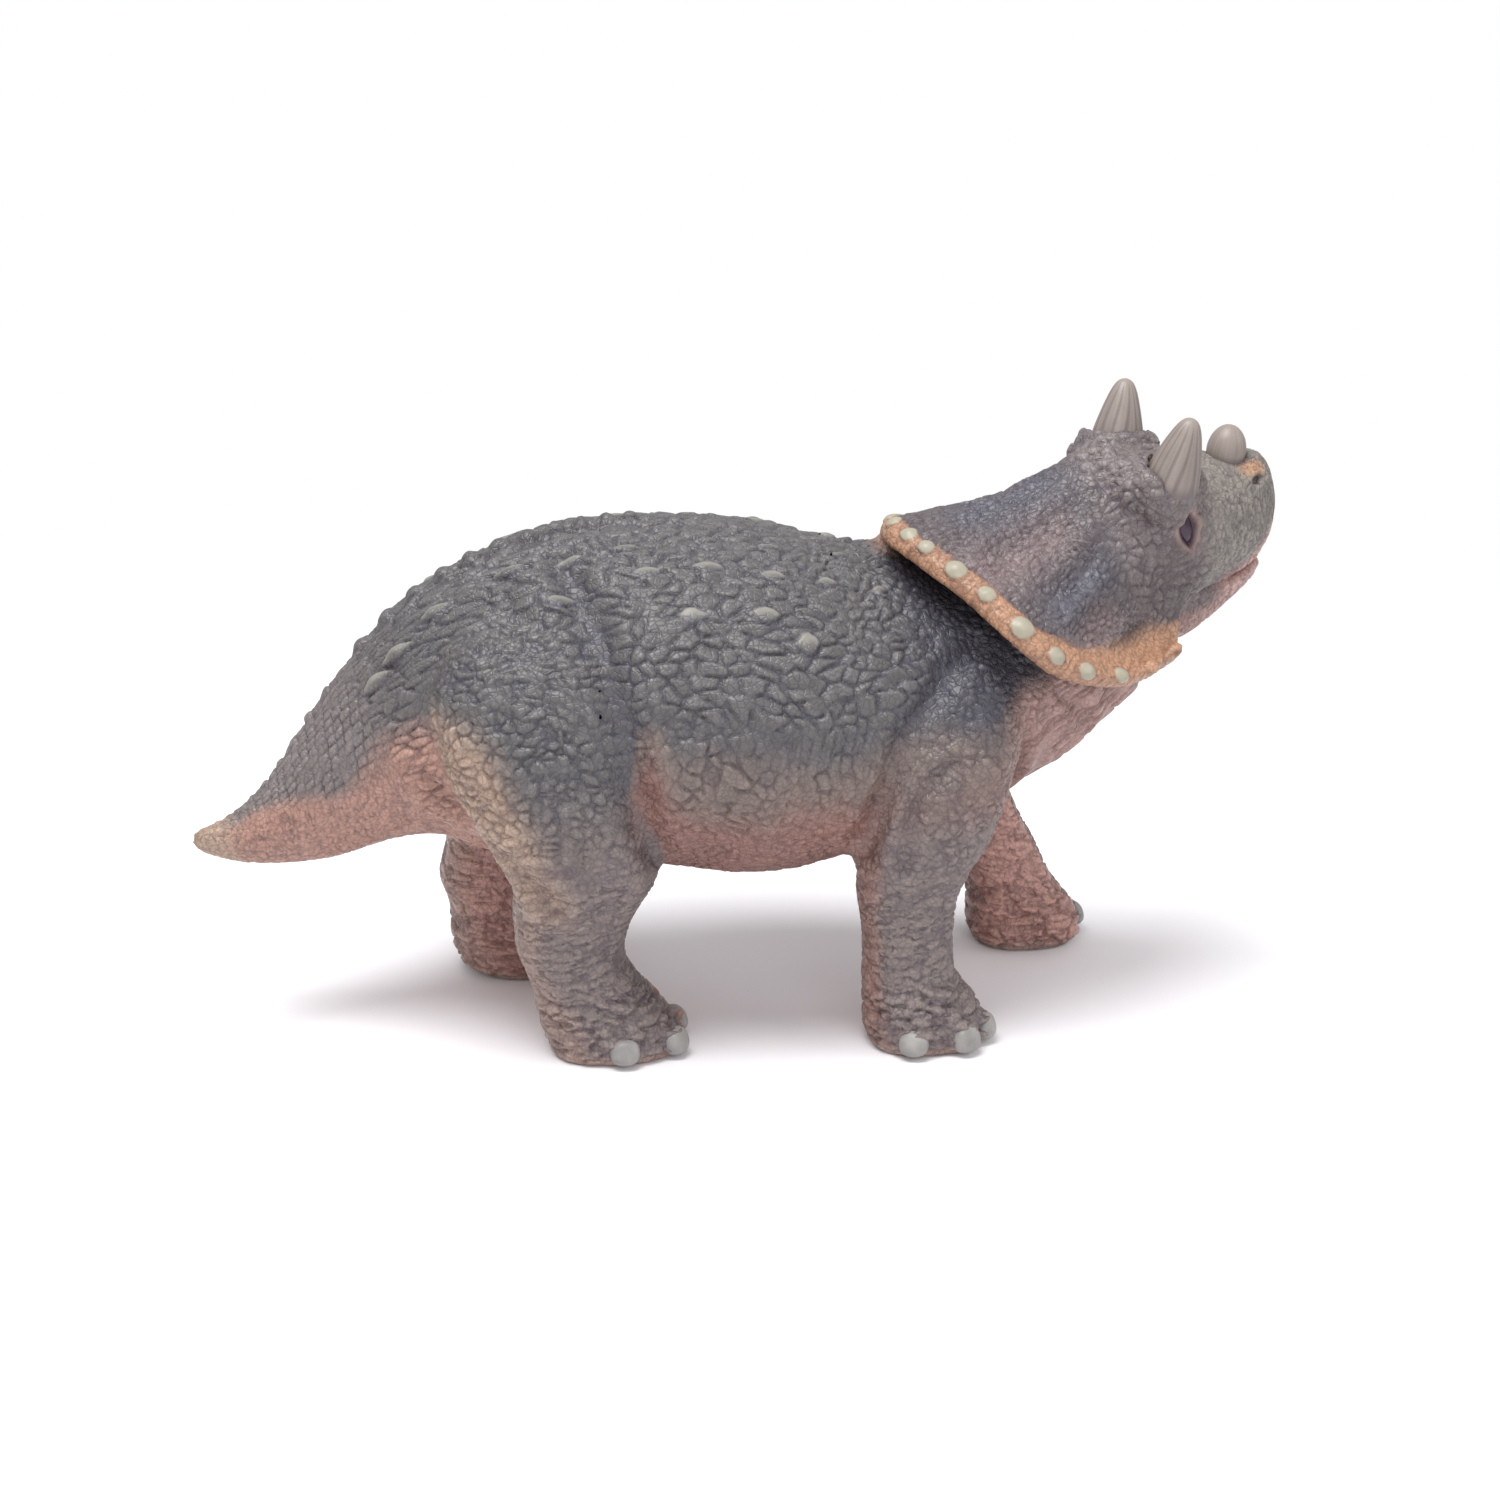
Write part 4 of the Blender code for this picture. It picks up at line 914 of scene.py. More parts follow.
@dataclass
class LegRelief:
    """Pebbles on thighs, small scales on shoulders, wrinkles below, and deep creases at the ankles."""

    pebbles: ScalePattern = ScalePattern(1.45, 1.12, depth=0.19, dome=0.19, jitter=0.95, stagger=False,
                                         power=2.2, groove_width=0.22, warp=0.8, tilt=0.30, seed=61)
    small: ScalePattern = ScalePattern(1.10, 0.90, depth=0.12, jitter=0.95, stagger=False, power=2.0,
                                       warp=0.6, seed=67)
    shank: WrinklePattern = WrinklePattern(2.0, 0.75, depth=0.16, width=0.24, seed=71)
    ankle: WrinklePattern = WrinklePattern(3.4, 1.6, depth=0.36, width=0.15, seed=73)

    def shape(self, places: Places, relief: Relief) -> None:
        """Adds the legs' patterns to the relief."""
        z = places.points[:, 2]
        for piece in LEGS:
            hind = "hind" in piece.name
            share = places.share(piece)
            leg = places.legs[piece]
            knee = 21.0 if hind else 18.0
            across = np.stack([leg["turn"] * 5.5, z], 1)
            tilted = np.stack([leg["turn"] * 5.5, z + 0.8 * leg["turn"]], 1)
            upper = smoothstep(knee - 2.0, knee + 4.0, z + 1.5 * Noise.smooth(places.points, 4.0, 5))
            foot = smoothstep(10.0, 5.0, z)
            relief.lay(share * upper, self.pebbles if hind else self.small, places.points)
            relief.lay(share * (1 - upper), self.shank, tilted)
            relief.lay(share * foot, self.ankle, across, 0.8)


@dataclass
class HeadRelief:
    """Skin of skull, snout, frill and jaw, with eye sockets, nostrils and the mouth line."""

    crown: ScalePattern = ScalePattern(1.50, 1.12, depth=0.17, dome=0.17, jitter=0.9, stagger=False,
                                       power=2.2, warp=0.6, seed=81)
    cheek: ScalePattern = ScalePattern(1.75, 1.20, depth=0.15, dome=0.14, jitter=0.9, stagger=False,
                                       power=2.2, warp=0.6, seed=83)
    snout: WrinklePattern = WrinklePattern(1.6, 0.5, depth=0.09, seed=85)
    shield: ScalePattern = ScalePattern(1.25, 0.88, dome=0.14, jitter=0.95, stagger=False, power=2.0,
                                        warp=0.7, seed=87)
    rim: WrinklePattern = WrinklePattern(2.4, 0.5, depth=0.05, width=0.2, seed=89)
    rim_length: float = 42.3
    rim_widths: tuple = (
        # how far along the rim from its top middle, in its half length, then the width of its pale band
        (0.0, 2.5), (0.45, 2.9), (0.6, 5.6), (0.75, 8.6), (0.9, 9.6), (1.0, 8.5),
    )
    ridges: tuple = (-0.66, -0.46, -0.28, -0.10, 0.10, 0.28, 0.46, 0.66)
    studs: tuple = (
        # how far along the rim from its top middle, in its half length, then diameter
        (0.042, 1.9), (0.103, 1.7), (0.200, 2.3), (0.302, 1.9), (0.420, 2.5), (0.521, 1.9), (0.620, 2.1),
        (0.738, 1.9), (0.865, 1.6), (0.975, 1.5),
    )
    stud_out: float = 0.93
    last_painted: float = 0.8
    horn_axes: tuple = ((0.9, 5.9, 3.1), (10.6, 0.0, 2.35))     # x and y of each collar, and its radius
    eye: tuple = (1.9, 7.0, 0.6)
    eye_slant: float = 100.0
    nostril: tuple = (12.6, 3.1, 2.4)
    mouth_height: float = -8.6
    mouth_slope: float = 0.07
    mouth_back: float = 4.4
    mouth_corner: tuple = (11.2, 2.5, 7.75)

    def eye_reach(self, places: Places) -> tuple:
        """How far each vertex is from the nearer eye's middle, along and across its slanted opening."""
        local = places.local
        slant = math.radians(self.eye_slant)
        x = local[:, 0] - self.eye[0]
        z = local[:, 2] - self.eye[2]
        along = x * math.cos(slant) + z * math.sin(slant)
        across = -x * math.sin(slant) + z * math.cos(slant)
        side = np.abs(np.abs(local[:, 1]) - self.eye[1]) < 3.0
        return np.where(side, along, FAR), np.where(side, across, FAR)

    def shape(self, places: Places, relief: Relief) -> dict:
        """Adds the head's patterns and features to the relief.

        Returns:
            How far each vertex is on the rim, on a stud, round the eye, in the nostril and in the mouth, and
            how far it lies from the eye's middle, with the eye's edge at 1.
        """
        self.skull(places, relief)
        marks = {"rim": self.frill(places, relief)}
        marks["stud"] = self.row_of_studs(places, relief)
        self.collars(places, relief)
        marks["almond"], marks["lids"] = self.eyes(places, relief)
        marks["nostril"] = self.nostrils(places, relief)
        marks["mouth"] = self.mouth(places, relief)
        return marks

    def skull(self, places: Places, relief: Relief) -> None:
        """Scales on crown and cheeks, and fine creases on the snout."""
        local, skull = places.local, places.on_skull
        front = smoothstep(4.0, 8.0, local[:, 0])
        cheek = smoothstep(2.0, -1.0, local[:, 0]) * smoothstep(5.0, 1.0, local[:, 2])
        relief.lay(skull * np.clip(1.0 - front - cheek, 0.0, 1.0), self.crown, local)
        relief.lay(skull * cheek, self.cheek, local)
        snout = np.clip(skull * front + places.share(Piece.lower_jaw), 0.0, 1.0)
        relief.lay(snout, self.snout, local[:, [2, 0, 1]])

    def frill(self, places: Places, relief: Relief) -> Array:
        """Scales and ridges on the frill, and its smoother rim; returns how far each vertex is on that."""
        frill, shield, over = places.frill, places.on_frill, places.upper_face
        edge = np.abs(frill["edge"])
        width = np.interp(edge, *zip(*self.rim_widths)) + 0.25 * Noise.smooth(places.points, 1.6, 91)
        inside = (frill["out"] - 1.0) * frill["breadth"] + width
        soft = np.interp(edge, (0.0, 0.45, 0.75), (0.3, 0.4, 2.8))
        rim = smoothstep(-1.0, 1.0, inside / soft) * shield
        face = np.clip(shield - rim, 0.0, 1.0)
        spread = np.stack([frill["out"] * frill["breadth"], frill["edge"] * self.rim_length], 1)
        relief.lay(face, self.shield, spread)
        relief.lay(rim, self.rim, spread)
        wobble = 0.02 * Noise.smooth(spread, 5.0, 93)
        wave = np.zeros(places.count)
        for ridge in self.ridges:
            wave = np.maximum(wave, bell(frill["round"] + wobble, ridge, 0.05))
        swell = smoothstep(0.15, 0.35, frill["out"]) * smoothstep(0.86, 0.7, frill["out"])
        relief.height += 0.7 * face * over * swell * (wave - 0.4)
        relief.height += 0.08 * rim * (1 - smoothstep(0.97, 1.03, frill["out"])) * over
        border = bell(inside, -0.2, 0.4) * shield * over * smoothstep(0.75, 0.5, edge)
        relief.groove = np.maximum(relief.groove, 0.55 * border)
        relief.height -= 0.12 * border
        return rim

    def row_of_studs(self, places: Places, relief: Relief) -> Array:
        """Round studs along both halves of the rim; returns how far each vertex is on a painted one."""
        local, frill, shield = places.local, places.frill, places.on_frill
        painted = np.zeros(places.count)
        for at, size in self.studs:
            for side in (1, -1):
                aside = (frill["edge"] - side * at) * self.rim_length
                reach = np.hypot(aside, (frill["out"] - self.stud_out) * frill["breadth"])
                near = bell(reach, 0.0, 0.4) * shield * places.upper_face
                middle = (local * near[:, None]).sum(0) / max(near.sum(), 1e-6)
                reach = np.linalg.norm(local - middle, axis=1) / (size / 2)
                top = smoothstep(1.1, 0.9, reach) * shield
                ring = smoothstep(1.6, 1.25, reach) * smoothstep(0.95, 1.2, reach) * shield
                relief.height = relief.height * (1 - top) + 0.10 * top - 0.10 * ring
                relief.groove = np.maximum(relief.groove * (1 - top), 0.6 * ring)
                if at < self.last_painted:
                    painted = np.maximum(painted, top)
        return painted

    def collars(self, places: Places, relief: Relief) -> None:
        """A raised ring with a dark joint round each horn's foot."""
        local, skull = places.local, places.on_skull
        near = skull * smoothstep(1.5, 3.0, local[:, 2])
        above = skull * smoothstep(0.0, 1.5, local[:, 2])
        for x, y, radius in self.horn_axes:
            for side in ((1, -1) if y else (1,)):
                reach = np.hypot(local[:, 0] - x, local[:, 1] - side * y)
                collar = bell(reach, radius + 0.25, 0.5) * near
                outer = smoothstep(-0.5, 1.5, side * local[:, 1] - y) if y else 0.0
                swollen = smoothstep(radius + 1.6, radius + 0.1, reach) * above
                relief.height = relief.height * (1 - 0.5 * collar) + 0.14 * collar + 0.75 * swollen * outer
                relief.groove = np.maximum(relief.groove, 0.7 * near * bell(reach, radius - 0.1, 0.3))

    def eyes(self, places: Places, relief: Relief) -> tuple:
        """Almond sockets with lids and a fold below.

        Returns:
            How far each vertex lies from an eye's middle, with the eye's edge at 1, and the same with the
            edge of the lids' warm paint at 1.
        """
        along, across = self.eye_reach(places)
        almond = np.hypot(along / 2.2, across / (1.0 * np.clip(1.0 - (along / 2.9) ** 2, 0.3, 1.0)))
        lid = bell(almond, 1.35, 0.28)
        inside = smoothstep(1.1, 0.85, almond)
        fold = bell(almond, 2.4, 0.35)
        flattened = relief.height * (1 - inside) * (1 - 0.7 * lid)
        relief.height = flattened - 0.5 * inside + 0.26 * lid + 0.12 * fold
        relief.groove = np.clip(relief.groove * (1 - lid) + 0.5 * bell(almond, 1.7, 0.16), 0, 1)
        return almond, np.hypot(along / 3.2, across / 2.0)

    def nostrils(self, places: Places, relief: Relief) -> Array:
        """A pit with a raised edge on each side; returns how far each vertex is in one."""
        local, head = places.local, places.share(Piece.head)
        reach = np.hypot(local[:, 0] - self.nostril[0], (local[:, 2] - self.nostril[2]) / 0.55)
        reach = np.where(np.abs(np.abs(local[:, 1]) - self.nostril[1]) < 2.0, reach, 9.0)
        pit = smoothstep(1.0, 0.4, reach) * head
        relief.height += -0.5 * pit + 0.15 * bell(reach, 1.35, 0.3) * head
        return pit

    def mouth(self, places: Places, relief: Relief) -> Array:
        """The line between the lips; returns how far each vertex is in the open corner of the mouth."""
        local = places.local
        line = self.mouth_height + self.mouth_slope * local[:, 0] + 0.25 * np.sin(local[:, 0] * 0.55)
        ahead = smoothstep(self.mouth_back - 0.6, self.mouth_back + 0.4, local[:, 0])
        both = np.clip(places.share(Piece.head) + places.share(Piece.lower_jaw), 0, 1)
        gap = bell(local[:, 2], line, 0.24) * ahead * both
        lips = bell(np.abs(local[:, 2] - line), 0.75, 0.35) * ahead
        relief.height += -0.35 * gap + 0.12 * lips * both
        relief.groove = np.maximum(relief.groove, 0.55 * gap)
        corner = np.linalg.norm((np.abs(local) - self.mouth_corner) * np.array([0.55, 0.6, 1.0]), axis=1)
        return gap * smoothstep(1.6, 0.8, corner)


@dataclass(frozen=True)
class Fold:
    """A soft crease of skin through a few places: points, width and depth, with a roll of skin beside it, and
    how far painted shade darkens it.
    """

    path: tuple
    width: float = 1.2
    depth: float = 0.6
    roll: float = 0.35
    # painted shade in the crease, added to the grooves' dark wash
    dark: float = 0.7

    def reach(self, points: Array) -> Array:
        """Distance of each point from the crease's line."""
        path = blend_rows(np.array(self.path, float), 5)
        nearest = np.full(len(points), FAR)
        for start, end in zip(path, path[1:]):
            way = end - start
            t = np.clip(((points - start) @ way) / max(way @ way, 1e-9), 0.0, 1.0)
            nearest = np.minimum(nearest, np.linalg.norm(points - start - t[:, None] * way, axis=1))
        return nearest

    def shape(self, places: Places, relief: Relief) -> None:
        """Presses the crease and its mirror image into the skin, with painted shade in them."""
        path = np.array(self.path)
        margin = 5.0 * self.width
        for side in (1.0, -1.0):
            mirrored = places.points * np.array([1.0, side, 1.0])
            near = ((mirrored > path.min(0) - margin) & (mirrored < path.max(0) + margin)).all(1)
            reach = self.reach(mirrored[near])
            pressed = bell(reach, 0.0, self.width)
            rolled = bell(reach, 1.9 * self.width, self.width)
            relief.height[near] += self.roll * rolled - self.depth * pressed
            # painted shade in the crease
            relief.groove[near] = np.clip(relief.groove[near] + self.dark * pressed * 0.6, 0.0, 1.0)


# each crease: path, width, depth, roll, and the painted shade that darkens it
FOLDS = (
    Fold(((-19.1, -8.0, 51.1), (-17.3, -13.2, 48.0), (-15.7, -17.3, 43.6), (-14.4, -19.6, 38.5),
          (-12.8, -19.4, 30.7), (-11.6, -16.3, 23.3)), 1.8, 1.0, 0.45, 0.6),
    Fold(((-33.7, -11.9, 30.1), (-29.9, -12.7, 26.8), (-25.6, -17.0, 23.3), (-21.0, -18.3, 18.7)),
         1.3, 0.6, 0.5, 0.5),
    Fold(((18.9, -18.4, 31.7), (16.1, -18.5, 29.2), (14.7, -18.6, 25.1), (14.4, -18.2, 20.7)),
         0.8, 0.35, 0.3, 0.5),
    Fold(((10.8, -15.8, 22.1), (11.6, -17.2, 27.9), (14.0, -17.7, 34.3), (18.2, -15.0, 39.0),
          (22.0, -11.6, 41.8)), 1.2, 0.45, 0.3, 0.6),
    Fold(((31.0, -13.0, 37.5), (35.0, -7.6, 32.3), (32.7, -6.8, 29.0)), 0.9, 0.4, 0.35, 0.4),
    Fold(((26.9, -10.4, 36.9), (27.5, -11.9, 32.0), (27.0, -9.0, 26.5)), 0.9, 0.4, 0.35, 0.4),
)


@dataclass(frozen=True)
class Hues:
    """The paints, as display colours from 0 to 255."""

    back: tuple = (89, 86, 87)
    shoulder: tuple = (69, 68, 76)
    flank: tuple = (85, 81, 84)
    belly: tuple = (134, 98, 90)
    tan: tuple = (166, 142, 124)
    tail_top: tuple = (116, 107, 106)
    under_tail: tuple = (166, 127, 113)
    leg: tuple = (116, 104, 101)
    leg_rear: tuple = (156, 132, 121)
    fore_rear: tuple = (160, 120, 108)
    side: tuple = (124, 107, 98)
    inner_leg: tuple = (180, 137, 127)
    throat: tuple = (157, 125, 118)
    shield: tuple = (94, 85, 87)
    shield_band: tuple = (80, 80, 92)
    shield_light: tuple = (134, 114, 115)
    rim: tuple = (176, 134, 106)
    snout: tuple = (134, 127, 120)
    crown: tuple = (114, 104, 104)
    cheek: tuple = (99, 90, 90)
    orange: tuple = (190, 146, 112)
    lid: tuple = (152, 118, 110)
    jaw: tuple = (180, 146, 138)
    mouth: tuple = (110, 44, 44)
    stud: tuple = (156, 154, 138)
    scute: tuple = (146, 144, 134)
    # cool and warm dark wash for the grooves, also standing in for their shade
    wash: tuple = (52, 52, 74)
    brown_wash: tuple = (96, 62, 58)
    # pale dry brush, which also paints highlights on what stands out
    dry_brush: tuple = (170, 166, 160)
    nostril: tuple = (52, 34, 36)
    socket: tuple = (60, 42, 52)


@dataclass
class Paintwork:
    """Colours the skin by place, with a dark wash in the grooves that also paints their shade, and a dry
    brush over what stands out that also paints its highlights.
    """

    hues: Hues = field(default_factory=Hues)
    thigh_edge: tuple = (-28.9, 37.6, 0.47)     # x and z where the tan starts, then its slope
    # how strongly the grooves' dark wash and painted shade cover the paint
    wash_strength: float = 0.66
    # how strongly the dry brush and painted highlight lighten what stands out
    brush_strength: float = 0.32
    shade: float = 0.90         # darkens all the paint
    glow: tuple = ((12.4, 2.6, 3.6), (2.4, 1.2, 1.1))       # the nostril's warm patch: middle, half sizes

    def base(self, places: Places, marks: dict) -> tuple:
        """The undercoats.

        Returns:
            The colour of each vertex in linear light, and how warm the dark wash and painted shade in its
            grooves are.
        """
        hue = self.hues
        spine, high, points = places.spine, places.high, places.points
        x, z = spine["x"], points[:, 2]
        blotch = Noise.layered(places.points, 6.0, 101)
        tint = np.tile(linear(hue.back), (places.count, 1))
        warm = np.zeros(places.count)

        def coat(share: Array, colour: tuple, warmth: float = 0.0) -> None:
            """Brushes a colour on as far as share says."""
            nonlocal tint, warm
            share = np.clip(share, 0.0, 1.0)[:, None]
            tint = tint * (1 - share) + linear(colour) * share
            warm = warm * (1 - share[:, 0]) + warmth * share[:, 0]

        haunch = smoothstep(-12.5, -15.0, x) * smoothstep(-27.0, -24.0, x)
        haunch *= smoothstep(8.0, 12.0, np.abs(points[:, 1]))
        streak = bell(x, -11.2, 1.8) * smoothstep(0.34, -0.05, high)
        soft = high + 0.12 * blotch + 0.8 * haunch - 0.24 * streak
        coat(smoothstep(0.35, -0.1, soft) * 0.8, hue.flank)
        coat(smoothstep(10.0, 22.0, x + 3 * blotch) * smoothstep(-0.5, 0.0, high) * 0.9, hue.shoulder)
        coat(smoothstep(0.02, -0.22, soft) * 0.75, hue.side, 0.6)
        coat(smoothstep(-0.20, -0.52, soft), hue.belly, 1.0)
        coat(smoothstep(22.0, 27.0, x) * smoothstep(0.10, -0.3, soft), hue.throat, 0.9)
        coat(smoothstep(-30.0, -40.0, x), hue.tail_top, 0.2)
        limit = np.interp(x, *zip(*TAIL_LIMITS))
        coat(smoothstep(-22.0, -28.0, x) * smoothstep(limit + 0.20, limit - 0.20, soft), hue.under_tail, 0.7)
        coat(smoothstep(-51.0, -55.0, x), hue.tan, 0.6)
        for piece in LEGS:
            leg = places.legs[piece]
            share = smoothstep(0.25, 0.7, places.share(piece))
            side = np.sin(leg["turn"])
            coat(share * smoothstep(34.0, 22.0, z), hue.leg, 0.3)
            coat(share * smoothstep(-0.1, -0.55, side + 0.12 * blotch), hue.inner_leg, 1.0)
            behind = np.cos(leg["turn"]) + 0.15 * blotch
            rear = smoothstep(-0.35, -0.85, behind)
            if piece is Piece.right_hind_leg:
                edge_x, edge_z, slope = self.thigh_edge
                ahead = points[:, 0] - (edge_x + (edge_z - z) * slope)
                rear = smoothstep(2.6, -2.2, ahead + 1.2 * blotch) * smoothstep(40.0, 35.0, z)
            if "hind" in piece.name:
                coat(share * rear * smoothstep(14.0, 20.0, z) * 0.9, hue.tan, 0.6)
                ankle = smoothstep(-0.35, -0.85, behind) * smoothstep(20.0, 14.0, z)
                coat(share * ankle * 0.7, hue.leg_rear, 0.8)
            else:
                rear = smoothstep(-0.6, -0.97, behind) * smoothstep(30.0, 24.0, z)
                coat(share * rear * 0.65, hue.fore_rear, 1.0)
            coat(share * smoothstep(1.6, 0.4, z), hue.leg_rear, 0.8)
        head, jaw = places.local, places.share(Piece.lower_jaw)
        coat(places.on_skull, hue.crown, 0.2)
        coat(places.on_skull * smoothstep(-0.5, -3.0, head[:, 2]), hue.cheek, 0.4)
        coat(places.on_skull * smoothstep(2.5, 7.0, head[:, 0]), hue.snout, 0.2)
        coat(jaw, hue.cheek, 0.5)
        front = smoothstep(3.3, 2.4, np.abs(head[:, 1]) + 0.3 * blotch) * smoothstep(8.0, 10.5, head[:, 0])
        coat((places.on_skull + jaw) * front * smoothstep(-2.6, -4.2, head[:, 2]), hue.jaw, 0.9)
        coat(jaw * smoothstep(6.0, 9.0, head[:, 0]), hue.jaw, 0.9)
        coat((places.on_skull + jaw) * smoothstep(-9.5, -11.5, head[:, 2]), hue.throat, 0.9)
        frill = places.frill
        coat(places.on_frill, hue.shield, 0.4)
        aside = np.abs(frill["round"])
        band = bell(aside, 0.42, 0.10) + bell(aside, 0.0, 0.12)
        coat(places.on_frill * band * smoothstep(0.85, 0.6, frill["out"]) * 0.8, hue.shield_band)
        lower = smoothstep(0.3, 0.7, np.abs(frill["edge"])) * smoothstep(0.55, 0.8, frill["out"])
        coat(places.on_frill * lower * 0.5, hue.shield_band)
        light = bell(aside, 0.58, 0.08) + bell(aside, 0.2, 0.07)
        coat(places.on_frill * light * smoothstep(0.25, 0.45, frill["out"]) * 0.6, hue.shield_light, 0.6)
        coat(places.on_frill * (1 - places.upper_face), hue.throat, 0.8)
        coat(marks["rim"], hue.rim, 1.0)
        glow = np.linalg.norm((head - self.glow[0]) / self.glow[1], axis=1)
        mirrored = np.linalg.norm((head * [1, -1, 1] - self.glow[0]) / self.glow[1], axis=1)
        coat(smoothstep(1.2, 0.4, np.minimum(glow, mirrored)) * places.on_skull * 0.8, hue.orange, 1.0)
        coat(smoothstep(1.2, 0.3, marks["lids"]) * 0.6, hue.lid, 1.0)
        return tint, warm

    def colours(self, places: Places, relief: Relief, marks: dict) -> Array:
        """The finished colour of each vertex in linear light."""
        hue = self.hues
        tint, warm = self.base(places, marks)
        tint *= (1.0 + 0.12 * (relief.lot - 0.5) + 0.12 * Noise.layered(places.points, 3.0, 111))[:, None]
        # dark wash in the grooves, deepened into painted shade
        wash = linear(hue.wash) * (1 - warm)[:, None] + linear(hue.brown_wash) * warm[:, None]
        broken = 0.75 + 0.5 * Noise.layered(places.points, 1.1, 117, 2)
        deep = np.clip(relief.groove * broken, 0.0, 1.0)[:, None]
        tint = tint * (1 - self.wash_strength * deep) + wash * self.wash_strength * deep
        # dry brush over raised parts, which also paints their highlights
        hollow = places.skin.smoothed(relief.height, np.ones(places.count), 6) - relief.height
        brushed_and_highlighted = smoothstep(0.01, 0.08, -hollow) * (1 - deep[:, 0])
        brush = tint * 1.25 + 0.12 * linear(hue.dry_brush)
        tint = tint * (1 - self.brush_strength * brushed_and_highlighted[:, None]) + brush * self.brush_strength * brushed_and_highlighted[:, None]
        # pale studs and plates, the plates' paint on their upper sides as a painted highlight, then dark
        # mouth and nostrils
        for name, colour, strength in (("stud", hue.stud, 0.9), ("scute", hue.scute, 0.65),
                                       ("mouth", hue.mouth, 0.9), ("nostril", hue.nostril, 0.8)):
            share = (strength * marks[name])[:, None]
            tint = tint * (1 - share) + linear(colour) * share
        inside = smoothstep(1.12, 0.9, marks["almond"])[:, None]
        tint = tint * (1 - inside) + linear(hue.socket) * inside
        return np.clip(self.shade * tint, 0.0, 1.0)


@dataclass(frozen=True)
class PaintFinish:
    """Matt hand paint in the skin's own colour layer, with fine carved lines and brush grain."""

    roughness: float = 0.43
    specular: float = 0.5
    grain_scale: float = 900.0
    line_scale: float = 1500.0
    line_wander: float = 0.00045
    line_bump: float = 0.42
    bump: float = 0.25

    def build(self, name: str) -> bpy.types.Material:
        """Makes the material.

        Args:
            name: the material's name.

        Returns:
            The node material.
        """
        material = bpy.data.materials.new(name)
        material.use_nodes = True
        nodes, links = material.node_tree.nodes, material.node_tree.links
        shader = nodes["Principled BSDF"]
        place = nodes.new("ShaderNodeTexCoord").outputs["Object"]
        paint = nodes.new("ShaderNodeAttribute")
        paint.attribute_name = "paint"
        fine = self.noise(nodes, links, place, self.grain_scale, 3.0)
        broad = self.noise(nodes, links, place, self.grain_scale / 6, 4.0)
        lines = self.lines(nodes, links, place, paint.outputs["Alpha"])
        colour = paint.outputs["Color"]
        for source, low, high in ((fine.outputs["Fac"], 0.82, 1.18), (lines, 0.80, 1.04)):
            spread = nodes.new("ShaderNodeMapRange")
            spread.inputs["To Min"].default_value = low
            spread.inputs["To Max"].default_value = high
            links.new(source, spread.inputs["Value"])
            tone = nodes.new("ShaderNodeHueSaturation")
            links.new(spread.outputs["Result"], tone.inputs["Value"])
            links.new(colour, tone.inputs["Color"])
            colour = tone.outputs["Color"]
        links.new(colour, shader.inputs["Base Color"])
        gloss = nodes.new("ShaderNodeMapRange")
        gloss.inputs["To Min"].default_value = self.roughness - 0.10
        gloss.inputs["To Max"].default_value = self.roughness + 0.10
        links.new(broad.outputs["Fac"], gloss.inputs["Value"])
        links.new(gloss.outputs["Result"], shader.inputs["Roughness"])
        normal = None
        for source, strength in ((lines, self.line_bump), (fine.outputs["Fac"], self.bump)):
            bump = nodes.new("ShaderNodeBump")
            bump.inputs["Strength"].default_value = strength
            bump.inputs["Distance"].default_value = 0.12 * MM
            links.new(source, bump.inputs["Height"])
            if normal:
                links.new(normal, bump.inputs["Normal"])
            normal = bump.outputs["Normal"]
        links.new(normal, shader.inputs["Normal"])
        shader.inputs["Specular IOR Level"].default_value = self.specular
        return material

    def lines(self, nodes: bpy.types.Nodes, links: bpy.types.NodeLinks, place: bpy.types.NodeSocket,
              carved: bpy.types.NodeSocket) -> bpy.types.NodeSocket:
        """Fine crooked lines between little islands: 1 away from a line, and less where it is carved."""
        wander = self.noise(nodes, links, place, self.grain_scale, 2.0)
        bent = nodes.new("ShaderNodeVectorMath")
        bent.operation = "MULTIPLY_ADD"
        links.new(wander.outputs["Color"], bent.inputs[0])
        bent.inputs[1].default_value = (self.line_wander,) * 3
        links.new(place, bent.inputs[2])
        islands = nodes.new("ShaderNodeTexVoronoi")
        islands.feature = "DISTANCE_TO_EDGE"
        islands.inputs["Scale"].default_value = self.line_scale
        links.new(bent.outputs["Vector"], islands.inputs["Vector"])
        soft = nodes.new("ShaderNodeMapRange")
        soft.interpolation_type = "SMOOTHSTEP"
        soft.inputs["From Max"].default_value = 0.16
        links.new(islands.outputs["Distance"], soft.inputs["Value"])
        faint = nodes.new("ShaderNodeMapRange")
        faint.inputs["To Min"].default_value = 1.0
        faint.inputs["To Max"].default_value = 0.0
        links.new(carved, faint.inputs["Value"])
        links.new(faint.outputs["Result"], soft.inputs["To Min"])
        return soft.outputs["Result"]

    @staticmethod
    def noise(nodes: bpy.types.Nodes, links: bpy.types.NodeLinks, place: bpy.types.NodeSocket, scale: float,
              detail: float) -> bpy.types.Node:
        """A noise texture node on the object's own coordinates."""
        node = nodes.new("ShaderNodeTexNoise")
        node.inputs["Scale"].default_value = scale
        node.inputs["Detail"].default_value = detail
        links.new(place, node.inputs["Vector"])
        return node


